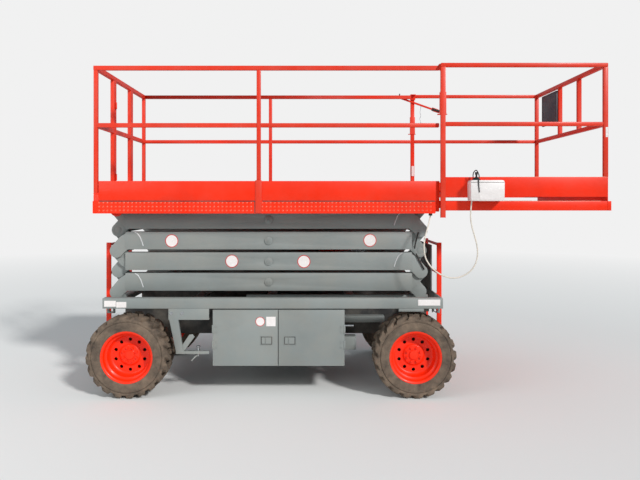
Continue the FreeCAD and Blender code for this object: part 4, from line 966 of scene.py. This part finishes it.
rounded("document_box", 0.004)
case_bead()

# Extension sides: pale lips along the top edges of the toe boards and of the beams under them,
# a painted highlight where those edges catch the light, over chipped, worn paint.
for side, sign in SIDES:
    lips = Shell().lip(sign, (1.760, 2.300, 2.852), 0.8478, 1.8752, 0.0022)
    lips.lip(sign, (1.760, 2.300, 2.800), 0.8482, 1.6708, 0.0018)
    lips.made("worn_highlight_lips_" + side, WORN_HIGHLIGHT, "extension", "orange_paint")

# Blank plates: on the far extension post, towards the platform, and on the near front corner post.
badge = Shell().box((1.449, 0.8085, 1.945), (1.477, 0.8102, 2.056), 0.0005)
badge.box((2.841, -0.8513, 2.215), (2.861, -0.8498, 2.300), 0.0004)
badge.made("post_plates", WHITE, "extension", "white_plastic")


# Small fittings on each side of the chassis.
def cradle_fittings(side, sign):
    """Two bolts with washers on the cradle's bar."""
    bolts = Shell()
    for x in (-0.862, -0.767):
        bolts.stud(sign, x, 0.708, (0.7980, 0.8010), 0.0145, 18, 0.0004)
        bolts.stud(sign, x, 0.708, (0.8008, 0.8075), 0.0100, 6, 0.0009)
    bolts.made("cradle_bolts_" + side, STEEL, "chassis", "bright_steel", angle=25.0)


def front_fittings(side, sign):
    """A bright rod at the front support, and a clamp under the rail that holds two short hoses."""
    Shell().post((0.617, sign * 0.785, 0.602), (0.705, sign * 0.785, 0.602), 0.007, 20, 0.001).made(
        "support_rod_" + side, STEEL, "chassis", "bright_steel")
    clamp = Shell().slab(sign, (1.282, 1.352), (0.752, 0.788), (0.722, 0.765), 0.004)
    for reach, drop in ((1.386, 0.712), (1.418, 0.706)):
        clamp.hose([(1.346, sign * 0.770, 0.744), (reach - 0.014, sign * 0.773, 0.748),
                    (reach, sign * 0.774, 0.732), (reach - 0.004, sign * 0.772, drop)],
                   0.0035, sides=10)
    clamp.made("hose_clamp_" + side, BLACK, "chassis", "black_rubber")


def drain_fittings(side, sign):
    """A valve under the cradle, with a pipe end below it and a handle that hangs to the rear."""
    valve = Shell()
    for low, high, radius, sides, cut in ((0.380, 0.412, 0.011, 20, 0.002),
                                          (0.410, 0.424, 0.017, 20, 0.004),
                                          (0.334, 0.360, 0.009, 16, 0.001)):
        valve.post((-0.634, sign * 0.765, low), (-0.634, sign * 0.765, high), radius, sides, cut)
    valve.made("drain_valve_" + side, STEEL, "chassis", "bright_steel")
    Shell().hose([(-0.636, sign * 0.768, 0.340), (-0.652, sign * 0.774, 0.336),
                  (-0.672, sign * 0.780, 0.318), (-0.690, sign * 0.782, 0.298)], 0.006, sides=10).made(
        "drain_handle_" + side, GREY, "chassis", "grey_paint")


for side, sign in SIDES:
    cradle_fittings(side, sign)
    front_fittings(side, sign)
    drain_fittings(side, sign)


# The cord hangs from the control box to its clip under the main deck.
CORD_ROUTE = [
    (1.6879, -0.910, 1.671), (1.677, -0.910, 1.579), (1.681, -0.912, 1.487),
    (1.705, -0.917, 1.395), (1.731, -0.921, 1.303), (1.737, -0.922, 1.202),
    (1.705, -0.917, 1.109), (1.632, -0.906, 1.044), (1.538, -0.894, 1.016),
    (1.444, -0.882, 1.040), (1.362, -0.870, 1.099), (1.306, -0.858, 1.183),
    (1.295, -0.843, 1.284), (1.315, -0.825, 1.383), (1.347, -0.796, 1.469),
    (1.3692, -0.755, 1.5415)]
CORD_THICK = 0.012


def cord_piece():
    """A round sheath along a smooth curve that the route's points pull towards them."""
    curve = bpy.data.curves.new("cord_line", "CURVE")
    curve.dimensions = "3D"
    curve.bevel_depth = CORD_THICK / 2
    curve.bevel_resolution = 4
    spline = curve.splines.new("NURBS")
    spline.points.add(len(CORD_ROUTE) - 1)
    for point, place in zip(spline.points, CORD_ROUTE):
        point.co = (*place, 1.0)
    spline.order_u = 3
    spline.use_endpoint_u = True
    spline.resolution_u = 8
    curve.use_fill_caps = True
    curve.materials.append(CREAM)
    thing = in_scene("box_cord", curve)
    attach(thing, "extension")
    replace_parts(thing, "cord")


cord_piece()


# Floor and light: a wide pale floor that fades into the pale world seen behind it.
FLOOR = (0.90, 0.90, 0.89)
FLOOR_REACH = 70.0
FADE_FROM = 4.5
FADE_TO = 16.0
BACKDROP = (0.945, 0.945, 0.945)
SKY = (0.86, 0.93, 1.0, 1.0)
SKY_STRENGTH = 0.44
MIDDLE = (0.5, 0.0, 1.3)


def stage():
    """The floor: for the camera alone it gives way to the backdrop's own light as it recedes."""
    material = bpy.data.materials.new("pale_floor")
    material.use_nodes = True
    tree = material.node_tree
    shader = tree.nodes["Principled BSDF"]
    shader.inputs["Roughness"].default_value = 0.85
    shader.inputs["Specular IOR Level"].default_value = 0.0
    away = tree.nodes.new("ShaderNodeVectorMath")
    away.operation = "LENGTH"
    tree.links.new(tree.nodes.new("ShaderNodeTexCoord").outputs["Object"], away.inputs[0])
    fade = ramp(tree, away.outputs["Value"], FADE_FROM, FADE_TO)
    seen = maths(tree, "MULTIPLY", tree.nodes.new("ShaderNodeLightPath").outputs["Is Camera Ray"], fade)
    tree.links.new(mixed(tree, fade, linear(*FLOOR), (0, 0, 0, 1)), shader.inputs["Base Color"])
    shader.inputs["Emission Color"].default_value = linear(*BACKDROP)
    tree.links.new(seen, shader.inputs["Emission Strength"])
    mesh = bpy.data.meshes.new("floor")
    mesh.from_pydata([(FLOOR_REACH * (2 * a - 1), FLOOR_REACH * (2 * b - 1), 0.0) for a, b in AROUND],
                     [], [(0, 1, 2, 3)])
    mesh.materials.append(material)
    in_scene("floor", mesh)


def lamp(name, kind, toward, power, size):
    """A lamp that shines from a direction, given from the object towards it."""
    light = bpy.data.lights.new(name, kind)
    light.energy = power
    if kind == "SUN":
        light.angle = size
    else:
        light.size = size
    thing = in_scene(name, light)
    thing.location = Vector(MIDDLE) + Vector(toward)
    thing.rotation_euler = Vector(toward).to_track_quat("Z", "Y").to_euler()


def world_light():
    """An even sky for the light, and for the camera alone the backdrop's colour."""
    world = bpy.data.worlds.new("studio")
    bpy.context.scene.world = world
    world.use_nodes = True
    tree = world.node_tree
    sky = tree.nodes["Background"]
    ray = tree.nodes.new("ShaderNodeLightPath").outputs["Is Camera Ray"]
    tree.links.new(mixed(tree, ray, SKY, linear(*BACKDROP)), sky.inputs["Color"])
    tree.links.new(spread(tree, ray, SKY_STRENGTH, 1.0), sky.inputs["Strength"])


stage()
lamp("key_light", "SUN", (5.0, -6.6, 5.2), power=2.6, size=0.12)
lamp("fill_light", "AREA", (-6.0, -5.0, 2.6), power=120.0, size=4.0)
world_light()
